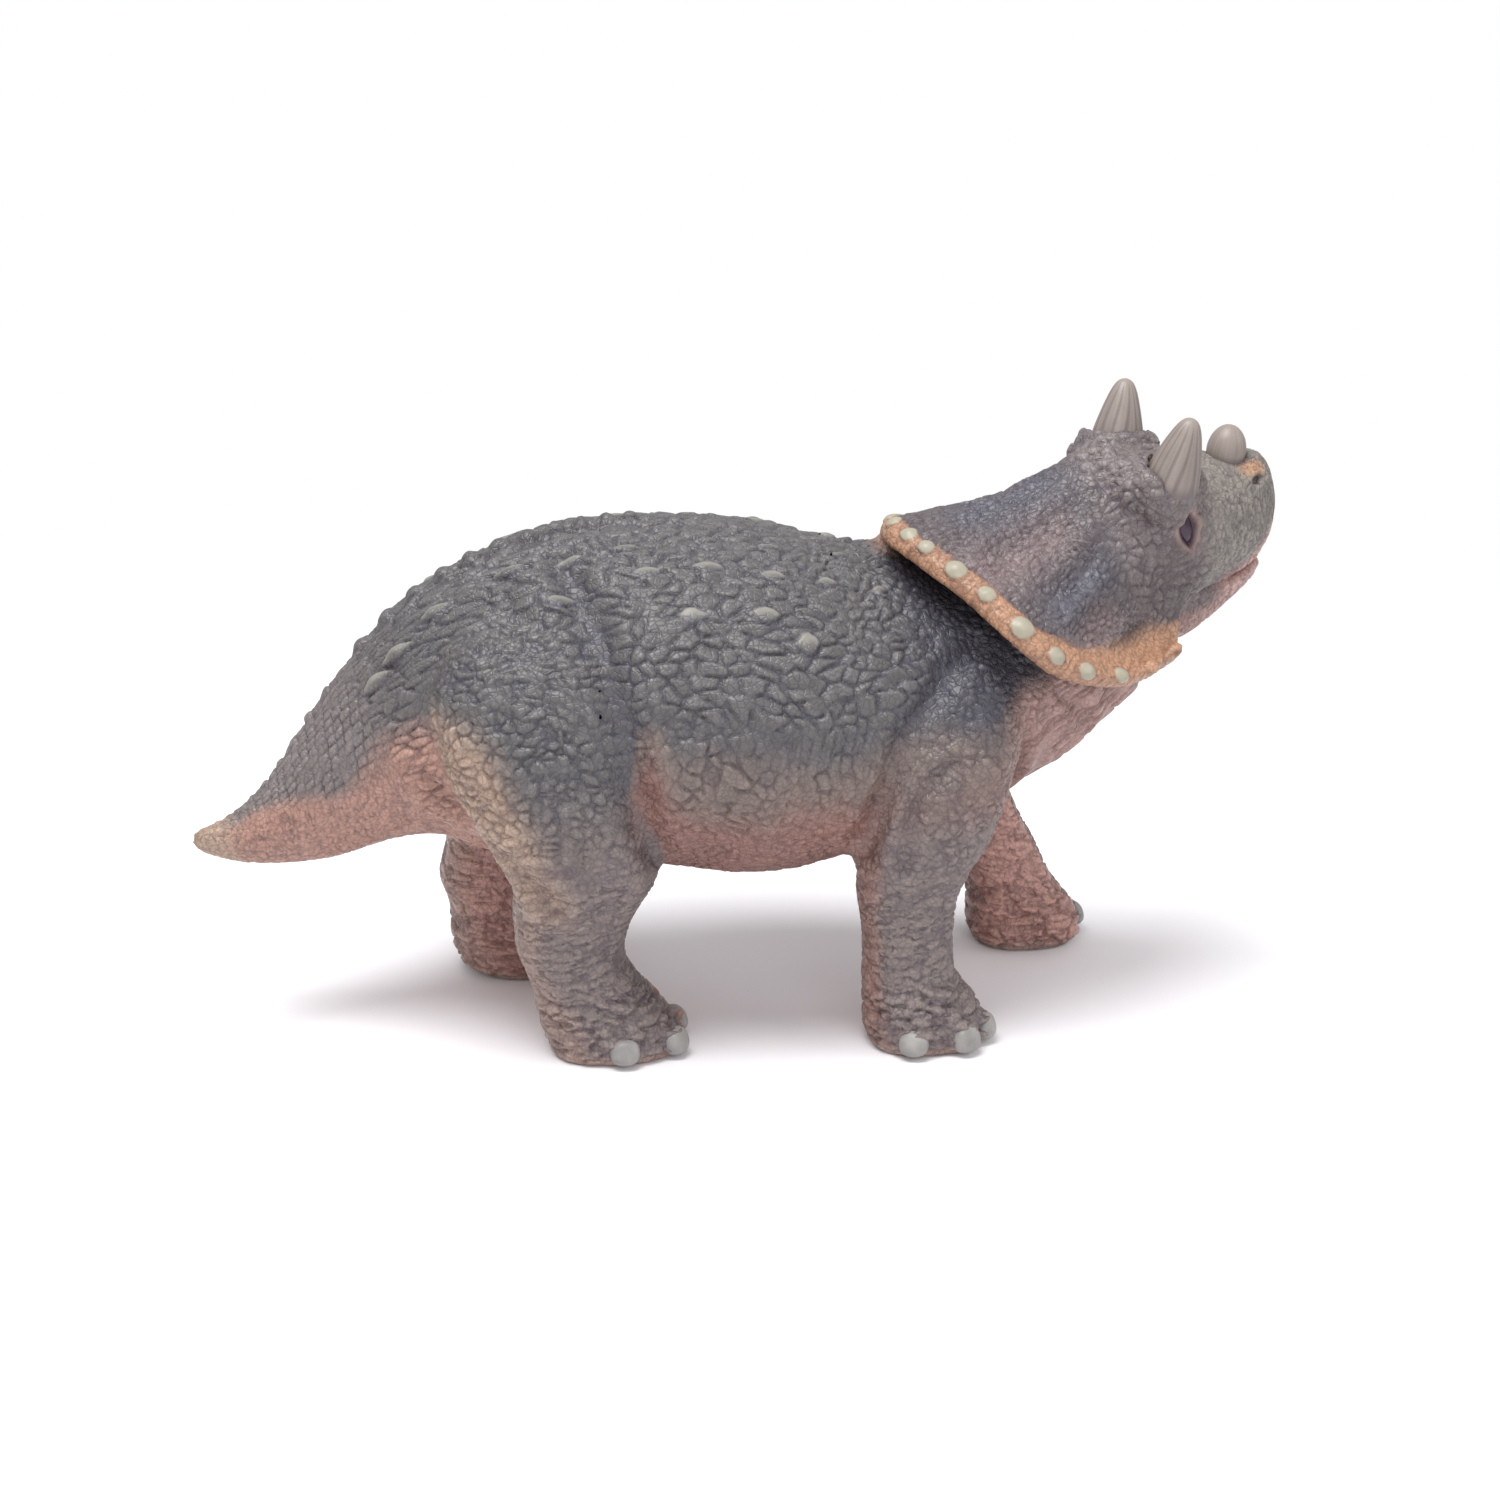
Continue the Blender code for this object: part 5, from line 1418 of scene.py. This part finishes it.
class MeshMaker:
    """Turns arrays into mesh objects that ride on the figure."""

    @staticmethod
    def build(name: str, points: Array, faces: list, normals: Array | None = None) -> bpy.types.Object:
        """A smooth-shaded object.

        Args:
            name: the object's name.
            points: vertices in millimetres.
            faces: arrays of vertex numbers, one array for each number of corners.
            normals: vertex normals to shade with, or None for the mesh's own.

        Returns:
            The object, already in the scene.
        """
        mesh = bpy.data.meshes.new(name)
        corners = np.concatenate([face.ravel() for face in faces]).astype(np.int32)
        widths = np.concatenate([np.full(len(face), face.shape[1]) for face in faces])
        mesh.vertices.add(len(points))
        mesh.loops.add(len(corners))
        mesh.polygons.add(len(widths))
        mesh.vertices.foreach_set("co", (points * MM).astype(np.float32).ravel())
        mesh.loops.foreach_set("vertex_index", corners)
        starts = np.concatenate([[0], np.cumsum(widths)[:-1]])
        mesh.polygons.foreach_set("loop_start", starts.astype(np.int32))
        mesh.update(calc_edges=True)
        if normals is not None:
            mesh.normals_split_custom_set_from_vertices(normals.astype(np.float32))
        thing = bpy.data.objects.new(name, mesh)
        bpy.context.scene.collection.objects.link(thing)
        return thing

    @staticmethod
    def paint(thing: bpy.types.Object, colours: Array, carved: Array | None = None) -> None:
        """Stores a colour for each vertex, and how strongly its fine carved lines show."""
        layer = thing.data.color_attributes.new("paint", "FLOAT_COLOR", "POINT")
        full = np.ones((len(colours), 4), np.float32)
        full[:, :3] = colours
        if carved is not None:
            full[:, 3] = carved
        layer.data.foreach_set("color", full.ravel())

    @staticmethod
    def place(thing: bpy.types.Object, material: bpy.types.Material, nodes: tuple, slot: str) -> None:
        """Dresses the object, ties it to the figure and hides the CAD nodes it replaces; the slot is not
        used.
        """
        thing.data.materials.append(material)
        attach(thing, "root")
        if nodes:
            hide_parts(*nodes)


@dataclass
class MouldedSkin:
    """The finished skin: relief, paint, and the split into closed parts."""

    finish: PaintFinish = field(default_factory=PaintFinish)
    step: float = 0.11      # how far a point may stand out from its neighbours' average
    reach: tuple = (-0.85, 0.9)     # lowest and highest relief
    unfold_rounds: int = 5
    least_slope: float = 0.3        # how far a face may turn from the base skin before it is evened out

    def build(self) -> None:
        """Makes all the skin's objects."""
        skin, numbers, shares = BaseSkin().build()
        places = Places(skin, shares)
        relief = Relief(*(np.zeros(places.count) for _ in range(3)))
        HideRelief().shape(places, relief)
        LegRelief().shape(places, relief)
        marks = HeadRelief().shape(places, relief)
        scutes = Scutes()
        scutes.knobs(places, relief)
        marks["scute"] = scutes.shape(places, relief)
        for fold in FOLDS:
            fold.shape(places, relief)
        loose = smoothstep(3.4, 2.4, marks["almond"])
        relief.height = skin.smoothed(relief.height, 0.5 * loose, 2)
        average = skin.averaged(relief.height)
        step = self.step + loose
        relief.height = np.clip(average + np.clip(relief.height - average, -step, step), *self.reach)
        sole = smoothstep(0.3, 1.2, places.points[:, 2])
        points = self.unfolded(skin, places.points + skin.normals() * (relief.height * sole)[:, None])
        low, high = (np.array(corner) / MM for corner in cad_box)
        points = np.clip(points, low + 0.01, high - 0.01)
        colours = Paintwork().colours(places, relief, marks)
        plain = np.maximum.reduce([marks["stud"], marks["scute"], smoothstep(2.2, 1.4, marks["almond"])])
        self.split(skin.quads, points, skin.normals(points), colours, 1.0 - plain, numbers, places)

    def unfolded(self, skin: SkinMesh, points: Array) -> Array:
        """The points, evened out wherever the relief folded the skin over itself."""
        outwards = skin.smoothed(skin.normals(), np.ones(len(points)), 12)[skin.quads].mean(1)
        for _ in range(self.unfold_rounds):
            corners = points[skin.quads]
            faces = np.cross(corners[:, 2] - corners[:, 0], corners[:, 3] - corners[:, 1])
            along = (faces * outwards).sum(1) / np.maximum(np.linalg.norm(faces, axis=1), 1e-12)
            weight = np.zeros(len(points))
            weight[skin.quads[along < self.least_slope]] = 1.0
            weight = np.clip(weight + 2.0 * skin.averaged(weight), 0.0, 1.0)
            points = skin.smoothed(points, 0.7 * weight, 3)
        return points

    def split(self, quads: Array, points: Array, normals: Array, colours: Array, carved: Array,
              numbers: Array, places: Places) -> None:
        """Makes one object for each part of the skin."""
        middle = quads[:, 0]
        x, high = places.spine["x"][middle], places.high[middle]
        labels = np.empty(len(numbers), object)
        for piece in Piece:
            if f"{piece.name}_skin" in Part.__members__:
                labels[numbers == piece.value] = Part[f"{piece.name}_skin"]
        trunk, head = numbers == Piece.trunk.value, numbers == Piece.head.value
        centre = trunk & (x >= -16.0) & (x < 9.0)
        for chosen, part in (
            (trunk & (x < -16.0), Part.trunk_rump), (centre, Part.trunk_back),
            (trunk & (x >= 9.0), Part.trunk_front), (centre & (high < 0.0), Part.trunk_belly),
            (head, Part.skull_skin), (head & (places.on_frill[middle] > 0.5), Part.frill_skin),
        ):
            labels[chosen] = part
        material = self.finish.build("hand_paint")
        for part in Part:
            own = quads[labels == part]
            used, corners = np.unique(own, return_inverse=True)
            faces = corners.reshape(own.shape)
            extra, caps = self.caps(faces, points[used])
            log.info("%s: %d faces", part.name, len(faces))
            rows = np.concatenate([used, np.full(len(extra), used[0])])
            thing = MeshMaker.build(part.name, np.vstack([points[used], extra]), [faces, caps], normals[rows])
            MeshMaker.paint(thing, colours[rows], carved[rows])
            node, slot, _ = part.value
            MeshMaker.place(thing, material, (node,), slot)

    @staticmethod
    def caps(faces: Array, points: Array) -> tuple:
        """Hidden fans that close the openings of one part, drawn in towards the figure's middle plane.

        Returns:
            The middle points of the fans, and the fans' triangles.
        """
        count = len(points)
        starts = faces.ravel()
        ends = np.roll(faces, -1, axis=1).ravel()
        forward = starts.astype(np.int64) * count + ends
        backward = ends.astype(np.int64) * count + starts
        open_edge = ~np.isin(forward, backward)
        a, b = starts[open_edge], ends[open_edge]
        label = joined_groups(count, a, b)
        centres, triangles = [], []
        heart = points.mean(0)
        for number, group in enumerate(np.unique(label[a])):
            mine = label[a] == group
            ring = points[a[mine]].mean(0)
            centres.append((ring + (heart - ring) * 0.06) * np.array([1.0, 0.45, 1.0]))
            top = np.full(mine.sum(), count + number)
            triangles.append(np.stack([b[mine], a[mine], top], 1))
        return np.array(centres).reshape(-1, 3), np.vstack(triangles)


@dataclass(frozen=True)
class HornFinish:
    """Satin horn paint with pale lengthwise streaks."""

    dark: tuple = (112, 101, 97)
    light: tuple = (146, 135, 129)
    foot: tuple = (80, 70, 72)
    roughness: float = 0.45

    def build(self) -> bpy.types.Material:
        """Makes the material, which takes its streaks from the horn's colour layer."""
        material = bpy.data.materials.new("horn_paint_streaks")
        material.use_nodes = True
        nodes, links = material.node_tree.nodes, material.node_tree.links
        shader = nodes["Principled BSDF"]
        paint = nodes.new("ShaderNodeAttribute")
        paint.attribute_name = "paint"
        place = nodes.new("ShaderNodeTexCoord").outputs["Object"]
        fine = PaintFinish.noise(nodes, links, place, 700.0, 3.0)
        tone = nodes.new("ShaderNodeHueSaturation")
        speckle = nodes.new("ShaderNodeMapRange")
        speckle.inputs["To Min"].default_value = 0.9
        speckle.inputs["To Max"].default_value = 1.1
        links.new(fine.outputs["Fac"], speckle.inputs["Value"])
        links.new(speckle.outputs["Result"], tone.inputs["Value"])
        links.new(paint.outputs["Color"], tone.inputs["Color"])
        links.new(tone.outputs["Color"], shader.inputs["Base Color"])
        gloss = nodes.new("ShaderNodeMapRange")
        gloss.inputs["To Min"].default_value = self.roughness - 0.08
        gloss.inputs["To Max"].default_value = self.roughness + 0.08
        links.new(fine.outputs["Fac"], gloss.inputs["Value"])
        links.new(gloss.outputs["Result"], shader.inputs["Roughness"])
        bump = nodes.new("ShaderNodeBump")
        bump.inputs["Strength"].default_value = 0.15
        bump.inputs["Distance"].default_value = 0.1 * MM
        links.new(fine.outputs["Fac"], bump.inputs["Height"])
        links.new(bump.outputs["Normal"], shader.inputs["Normal"])
        return material


@dataclass
class Horn:
    """One horn: a lathed cone with lengthwise ribs and streaks, rounded at the tip."""

    name: str
    length: float = 7.4
    radius: float = 2.95
    profile: tuple = (
        # share of the height, then share of the radius
        (-0.25, 1.0), (0.0, 1.0), (0.20, 0.92), (0.42, 0.79), (0.64, 0.63), (0.82, 0.47), (0.93, 0.32),
        (0.98, 0.18), (1.0, 0.03),
    )
    ribs: int = 14
    rib_depth: float = 0.03
    streaks: float = 1.0
    sides: int = 136
    seed: int = 1
    finish: HornFinish = field(default_factory=HornFinish)

    def build(self, material: bpy.types.Material) -> None:
        """Makes the horn's object."""
        rows = blend_rows(np.array(self.profile, float), 9)
        turn = np.linspace(0.0, 2 * math.pi, self.sides, endpoint=False)
        heights, turns = np.meshgrid(rows[:, 0], turn, indexing="ij")
        radii = np.repeat(rows[:, 1:2], self.sides, 1) * self.radius
        around = np.stack([np.cos(turns).ravel() * 3, np.sin(turns).ravel() * 3, heights.ravel() * 1.2], 1)
        wander = Noise.smooth(around, 1.5, self.seed).reshape(turns.shape)
        wave = np.cos(self.ribs * turns + 2.0 * wander + 1.1 * np.sin(heights * 3 + turns * 2))
        groove = smoothstep(0.2, 1.0, wave)
        groove *= smoothstep(-0.1, 0.12, heights) * smoothstep(1.02, 0.82, heights)
        radii = radii * (1 - self.rib_depth * groove)
        points = np.stack([radii * np.cos(turns), radii * np.sin(turns), heights * self.length], 2)
        points = moved(points.reshape(-1, 3), HORN_PLACES[self.name].matrix())
        index = np.arange(len(points)).reshape(turns.shape)
        after = np.roll(index, -1, 1)
        faces = np.stack([index[:-1], after[:-1], after[1:], index[1:]], 2).reshape(-1, 4)
        points = np.vstack([points, points[index[0]].mean(0), points[index[-1]].mean(0)])
        low = np.stack([after[0], index[0], np.full(self.sides, len(points) - 2)], 1)
        top = np.stack([index[-1], after[-1], np.full(self.sides, len(points) - 1)], 1)
        thing = MeshMaker.build(self.name + "_ribbed", points, [faces, np.vstack([low, top])])
        tip = smoothstep(0.3, 1.0, heights.ravel())
        uneven = 0.25 * Noise.smooth(around * [4, 4, 0.5], 1.0, 9)
        streak = np.clip(0.62 - 0.6 * self.streaks * groove.ravel() + uneven + 0.2 * tip, 0, 1)[:, None]
        tint = linear(self.finish.dark) * (1 - streak) + linear(self.finish.light) * streak
        low_dark = smoothstep(0.16, -0.02, heights.ravel())[:, None]
        tint = tint * (1 - 0.55 * low_dark) + linear(self.finish.foot) * 0.55 * low_dark
        MeshMaker.paint(thing, np.vstack([tint, tint[:1], tint[-1:]]))
        MeshMaker.place(thing, material, (self.name,), "horn")


@dataclass(frozen=True)
class EyeFinish:
    """Glossy dark paint of the eye."""

    dark: tuple = (24, 20, 34)
    edge: tuple = (74, 46, 66)
    roughness: float = 0.18

    def build(self) -> bpy.types.Material:
        """Makes the material: near black with a purple edge and slight unevenness."""
        material = bpy.data.materials.new("eye_gloss")
        material.use_nodes = True
        nodes, links = material.node_tree.nodes, material.node_tree.links
        shader = nodes["Principled BSDF"]
        place = nodes.new("ShaderNodeTexCoord").outputs["Object"]
        mottle = PaintFinish.noise(nodes, links, place, 1500.0, 2.0)
        ramp = nodes.new("ShaderNodeValToRGB")
        ramp.color_ramp.elements[0].color = (*linear(self.dark), 1.0)
        ramp.color_ramp.elements[1].color = (*linear(self.edge), 1.0)
        links.new(mottle.outputs["Fac"], ramp.inputs["Fac"])
        links.new(ramp.outputs["Color"], shader.inputs["Base Color"])
        gloss = nodes.new("ShaderNodeMapRange")
        gloss.inputs["To Min"].default_value = self.roughness
        gloss.inputs["To Max"].default_value = self.roughness + 0.1
        links.new(mottle.outputs["Fac"], gloss.inputs["Value"])
        links.new(gloss.outputs["Result"], shader.inputs["Roughness"])
        return material


@dataclass(frozen=True)
class NailFinish:
    """Satin grey paint of the nails, slightly worn."""

    dark: tuple = (122, 120, 118)
    light: tuple = (152, 150, 147)

    def build(self) -> bpy.types.Material:
        """Makes the material."""
        material = bpy.data.materials.new("nail_paint")
        material.use_nodes = True
        nodes, links = material.node_tree.nodes, material.node_tree.links
        shader = nodes["Principled BSDF"]
        place = nodes.new("ShaderNodeTexCoord").outputs["Object"]
        mottle = PaintFinish.noise(nodes, links, place, 500.0, 4.0)
        ramp = nodes.new("ShaderNodeValToRGB")
        ramp.color_ramp.elements[0].position = 0.3
        ramp.color_ramp.elements[0].color = (*linear(self.dark), 1.0)
        ramp.color_ramp.elements[1].position = 0.7
        ramp.color_ramp.elements[1].color = (*linear(self.light), 1.0)
        links.new(mottle.outputs["Fac"], ramp.inputs["Fac"])
        links.new(ramp.outputs["Color"], shader.inputs["Base Color"])
        gloss = nodes.new("ShaderNodeMapRange")
        gloss.inputs["To Min"].default_value = 0.35
        gloss.inputs["To Max"].default_value = 0.55
        links.new(mottle.outputs["Fac"], gloss.inputs["Value"])
        links.new(gloss.outputs["Result"], shader.inputs["Roughness"])
        return material


@dataclass
class Ball:
    """A small smooth blob, squared off a little, used for eyes and nails."""

    name: str
    place: Matrix
    size: tuple
    power: float = 2.0
    rows: int = 24

    def build(self, material: bpy.types.Material, slot: str) -> None:
        """Makes the blob's object."""
        polar = np.linspace(0.0, math.pi, self.rows + 1)[1:-1]
        turn = np.linspace(0.0, 2 * math.pi, 2 * self.rows, endpoint=False)
        polars, turns = np.meshgrid(polar, turn, indexing="ij")
        unit = np.stack([np.sin(polars) * np.cos(turns), np.sin(polars) * np.sin(turns), np.cos(polars)], 2)
        unit = np.vstack([unit.reshape(-1, 3), [(0, 0, 1), (0, 0, -1)]])
        unit /= (np.abs(unit) ** self.power).sum(1)[:, None] ** (1 / self.power)
        points = moved(unit * np.array(self.size), self.place)
        index = np.arange(len(points) - 2).reshape(polars.shape)
        after = np.roll(index, -1, 1)
        faces = np.stack([index[:-1], index[1:], after[1:], after[:-1]], 2).reshape(-1, 4)
        top = np.stack([index[0], after[0], np.full(len(turn), len(points) - 2)], 1)
        low = np.stack([after[-1], index[-1], np.full(len(turn), len(points) - 1)], 1)
        box_low, box_high = (np.array(corner) / MM for corner in cad_box)
        points = np.clip(points, box_low + 0.01, box_high - 0.01)
        thing = MeshMaker.build(self.name, points, [faces, np.vstack([top, low])])
        MeshMaker.place(thing, material, (), slot)


@dataclass
class Feet:
    """The nails of all four feet."""

    hind_turns: tuple = (87.0, 31.0, -20.0)
    fore_turns: tuple = (104.0, 60.0, 13.0)
    soles: tuple = (
        # leg, x and y of the sole's middle, half length, half width at the nails' height
        ("right_hind", -14.7, -11.3, 6.9, 5.8), ("left_hind", -22.9, 12.7, 6.9, 5.8),
        ("right_fore", 17.6, -13.0, 6.2, 5.6), ("left_fore", 33.9, 14.5, 6.2, 5.6),
    )
    size: tuple = (1.25, 1.55, 1.42)

    def build(self) -> None:
        """Makes the nails."""
        material = NailFinish().build()
        for name, x, y, long, wide in self.soles:
            turns = self.hind_turns if "hind" in name else self.fore_turns
            side = math.copysign(1.0, y)
            for number, degrees in enumerate(turns):
                angle = math.radians(degrees)
                reach = [math.copysign(abs(part) ** 0.8, part) for part in (math.cos(angle), math.sin(angle))]
                place = Matrix.Translation((x + long * reach[0], y + side * wide * reach[1], 1.75))
                facing = Matrix.Rotation(side * angle, 4, "Z") @ Matrix.Rotation(math.radians(-18.0), 4, "Y")
                slot = "near_leg" if "right" in name else "far_leg"
                Ball(f"{name}_nail_{number + 1}", place @ facing, self.size, 2.4).build(material, slot)


@dataclass
class Studio:
    """Pale floor, soft light, white background and the camera of the photo."""

    azimuth: float = -7.0
    elevation: float = 18.0
    distance: float = 320.0
    target: tuple = (0.92, 0.0, 28.1)
    focal: float = 72.96
    paper: tuple = (0.95, 0.935, 0.965, 1.0)        # the floor's colour in linear light
    fade: tuple = (0.075, 0.27)     # where the floor starts and ends to fade, in metres from its middle
    world_light: float = 0.66       # of the background as a light, where the camera sees 1

    def build(self) -> None:
        """Makes camera, lights, floor and world."""
        self.camera()
        self.lights()
        self.floor()
        self.world()
        bpy.context.scene.view_settings.view_transform = "Standard"

    def camera(self) -> None:
        """Places the camera at the photo's angle."""
        data = bpy.data.cameras.new("photo_camera")
        data.lens = self.focal
        data.sensor_width = 36.0
        data.clip_start = 0.01
        thing = bpy.data.objects.new("photo_camera", data)
        bpy.context.scene.collection.objects.link(thing)
        across, up = math.radians(self.azimuth), math.radians(self.elevation)
        back = Vector((math.sin(across) * math.cos(up), -math.cos(across) * math.cos(up), math.sin(up)))
        thing.location = (Vector(self.target) + back * self.distance) * MM
        thing.rotation_euler = back.to_track_quat("Z", "Y").to_euler()
        bpy.context.scene.camera = thing

    def lights(self) -> None:
        """A broad overhead light, a front fill and a weak side light."""
        for name, place, size, power in (
            ("overhead", (-90.0, -90.0, 460.0), 300.0, 2.3),
            ("front_fill", (60.0, -480.0, 220.0), 360.0, 0.55),
            ("side_fill", (460.0, -120.0, 240.0), 300.0, 0.3),
        ):
            data = bpy.data.lights.new(name, "AREA")
            data.shape = "DISK"
            data.size = size * MM
            data.energy = power
            thing = bpy.data.objects.new(name, data)
            bpy.context.scene.collection.objects.link(thing)
            thing.location = Vector(place) * MM
            thing.rotation_euler = (Vector(place) - Vector((0, 0, 25))).to_track_quat("Z", "Y").to_euler()

    def floor(self) -> None:
        """A pale floor that fades into the background."""
        mesh = bpy.data.meshes.new("floor")
        reach = 3.0
        mesh.from_pydata([(-reach, -reach, 0), (reach, -reach, 0), (reach, reach, 0), (-reach, reach, 0)], [],
                         [(0, 1, 2, 3)])
        floor = bpy.data.objects.new("floor", mesh)
        bpy.context.scene.collection.objects.link(floor)
        material = bpy.data.materials.new("floor_paper")
        material.use_nodes = True
        nodes, links = material.node_tree.nodes, material.node_tree.links
        shader = nodes["Principled BSDF"]
        shader.inputs["Base Color"].default_value = self.paper
        shader.inputs["Roughness"].default_value = 0.8
        shader.inputs["Specular IOR Level"].default_value = 0.2
        place = nodes.new("ShaderNodeTexCoord").outputs["Object"]
        far = nodes.new("ShaderNodeVectorMath")
        far.operation = "LENGTH"
        middle = nodes.new("ShaderNodeVectorMath")
        middle.inputs[1].default_value = (0.0, 0.035, 0.0)
        links.new(place, middle.inputs[0])
        links.new(middle.outputs["Vector"], far.inputs[0])
        fade = nodes.new("ShaderNodeMapRange")
        fade.interpolation_type = "SMOOTHSTEP"
        fade.inputs["From Min"].default_value, fade.inputs["From Max"].default_value = self.fade
        links.new(far.outputs["Value"], fade.inputs["Value"])
        mix = nodes.new("ShaderNodeMixShader")
        links.new(fade.outputs["Result"], mix.inputs[0])
        links.new(shader.outputs[0], mix.inputs[1])
        links.new(nodes.new("ShaderNodeBsdfTransparent").outputs[0], mix.inputs[2])
        links.new(mix.outputs[0], nodes["Material Output"].inputs["Surface"])
        mesh.materials.append(material)

    def world(self) -> None:
        """White where the camera sees it, softer as a light."""
        world = bpy.data.worlds.new("studio_world")
        bpy.context.scene.world = world
        world.use_nodes = True
        nodes, links = world.node_tree.nodes, world.node_tree.links
        background = nodes["Background"]
        background.inputs["Color"].default_value = (1.0, 1.0, 1.0, 1.0)
        seen = nodes.new("ShaderNodeLightPath").outputs["Is Camera Ray"]
        strength = nodes.new("ShaderNodeMapRange")
        strength.inputs["To Min"].default_value = self.world_light
        strength.inputs["To Max"].default_value = 1.0
        links.new(seen, strength.inputs["Value"])
        links.new(strength.outputs["Result"], background.inputs["Strength"])


NOSE_HORN_PROFILE = (
    # share of the height, then share of the radius
    (-0.5, 1.0), (0.0, 1.0), (0.30, 1.0), (0.60, 0.86), (0.82, 0.62), (0.95, 0.34), (1.0, 0.05),
)


def main() -> None:
    """Builds the figure's looks and the studio."""
    logging.basicConfig(level=logging.INFO, format="%(message)s")
    MouldedSkin().build()
    horn = HornFinish().build()
    Horn("right_brow_horn", seed=3).build(horn)
    Horn("left_brow_horn", seed=7).build(horn)
    Horn("nose_horn", length=3.4, radius=2.05, rib_depth=0.0, streaks=0.15, seed=9,
         profile=NOSE_HORN_PROFILE).build(horn)
    gloss = EyeFinish().build()
    head = HeadPlace().matrix()
    for name, side in (("right_eye", -1), ("left_eye", 1)):
        place = head @ Matrix.Translation((1.9, side * 6.15, 0.6))
        place = place @ Matrix.Rotation(math.radians(-100.0), 4, "Y")
        Ball(name, place, (2.1, 1.0, 1.05)).build(gloss, "head")
    Feet().build()
    Studio().build()
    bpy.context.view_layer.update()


if __name__ == "__main__":
    main()
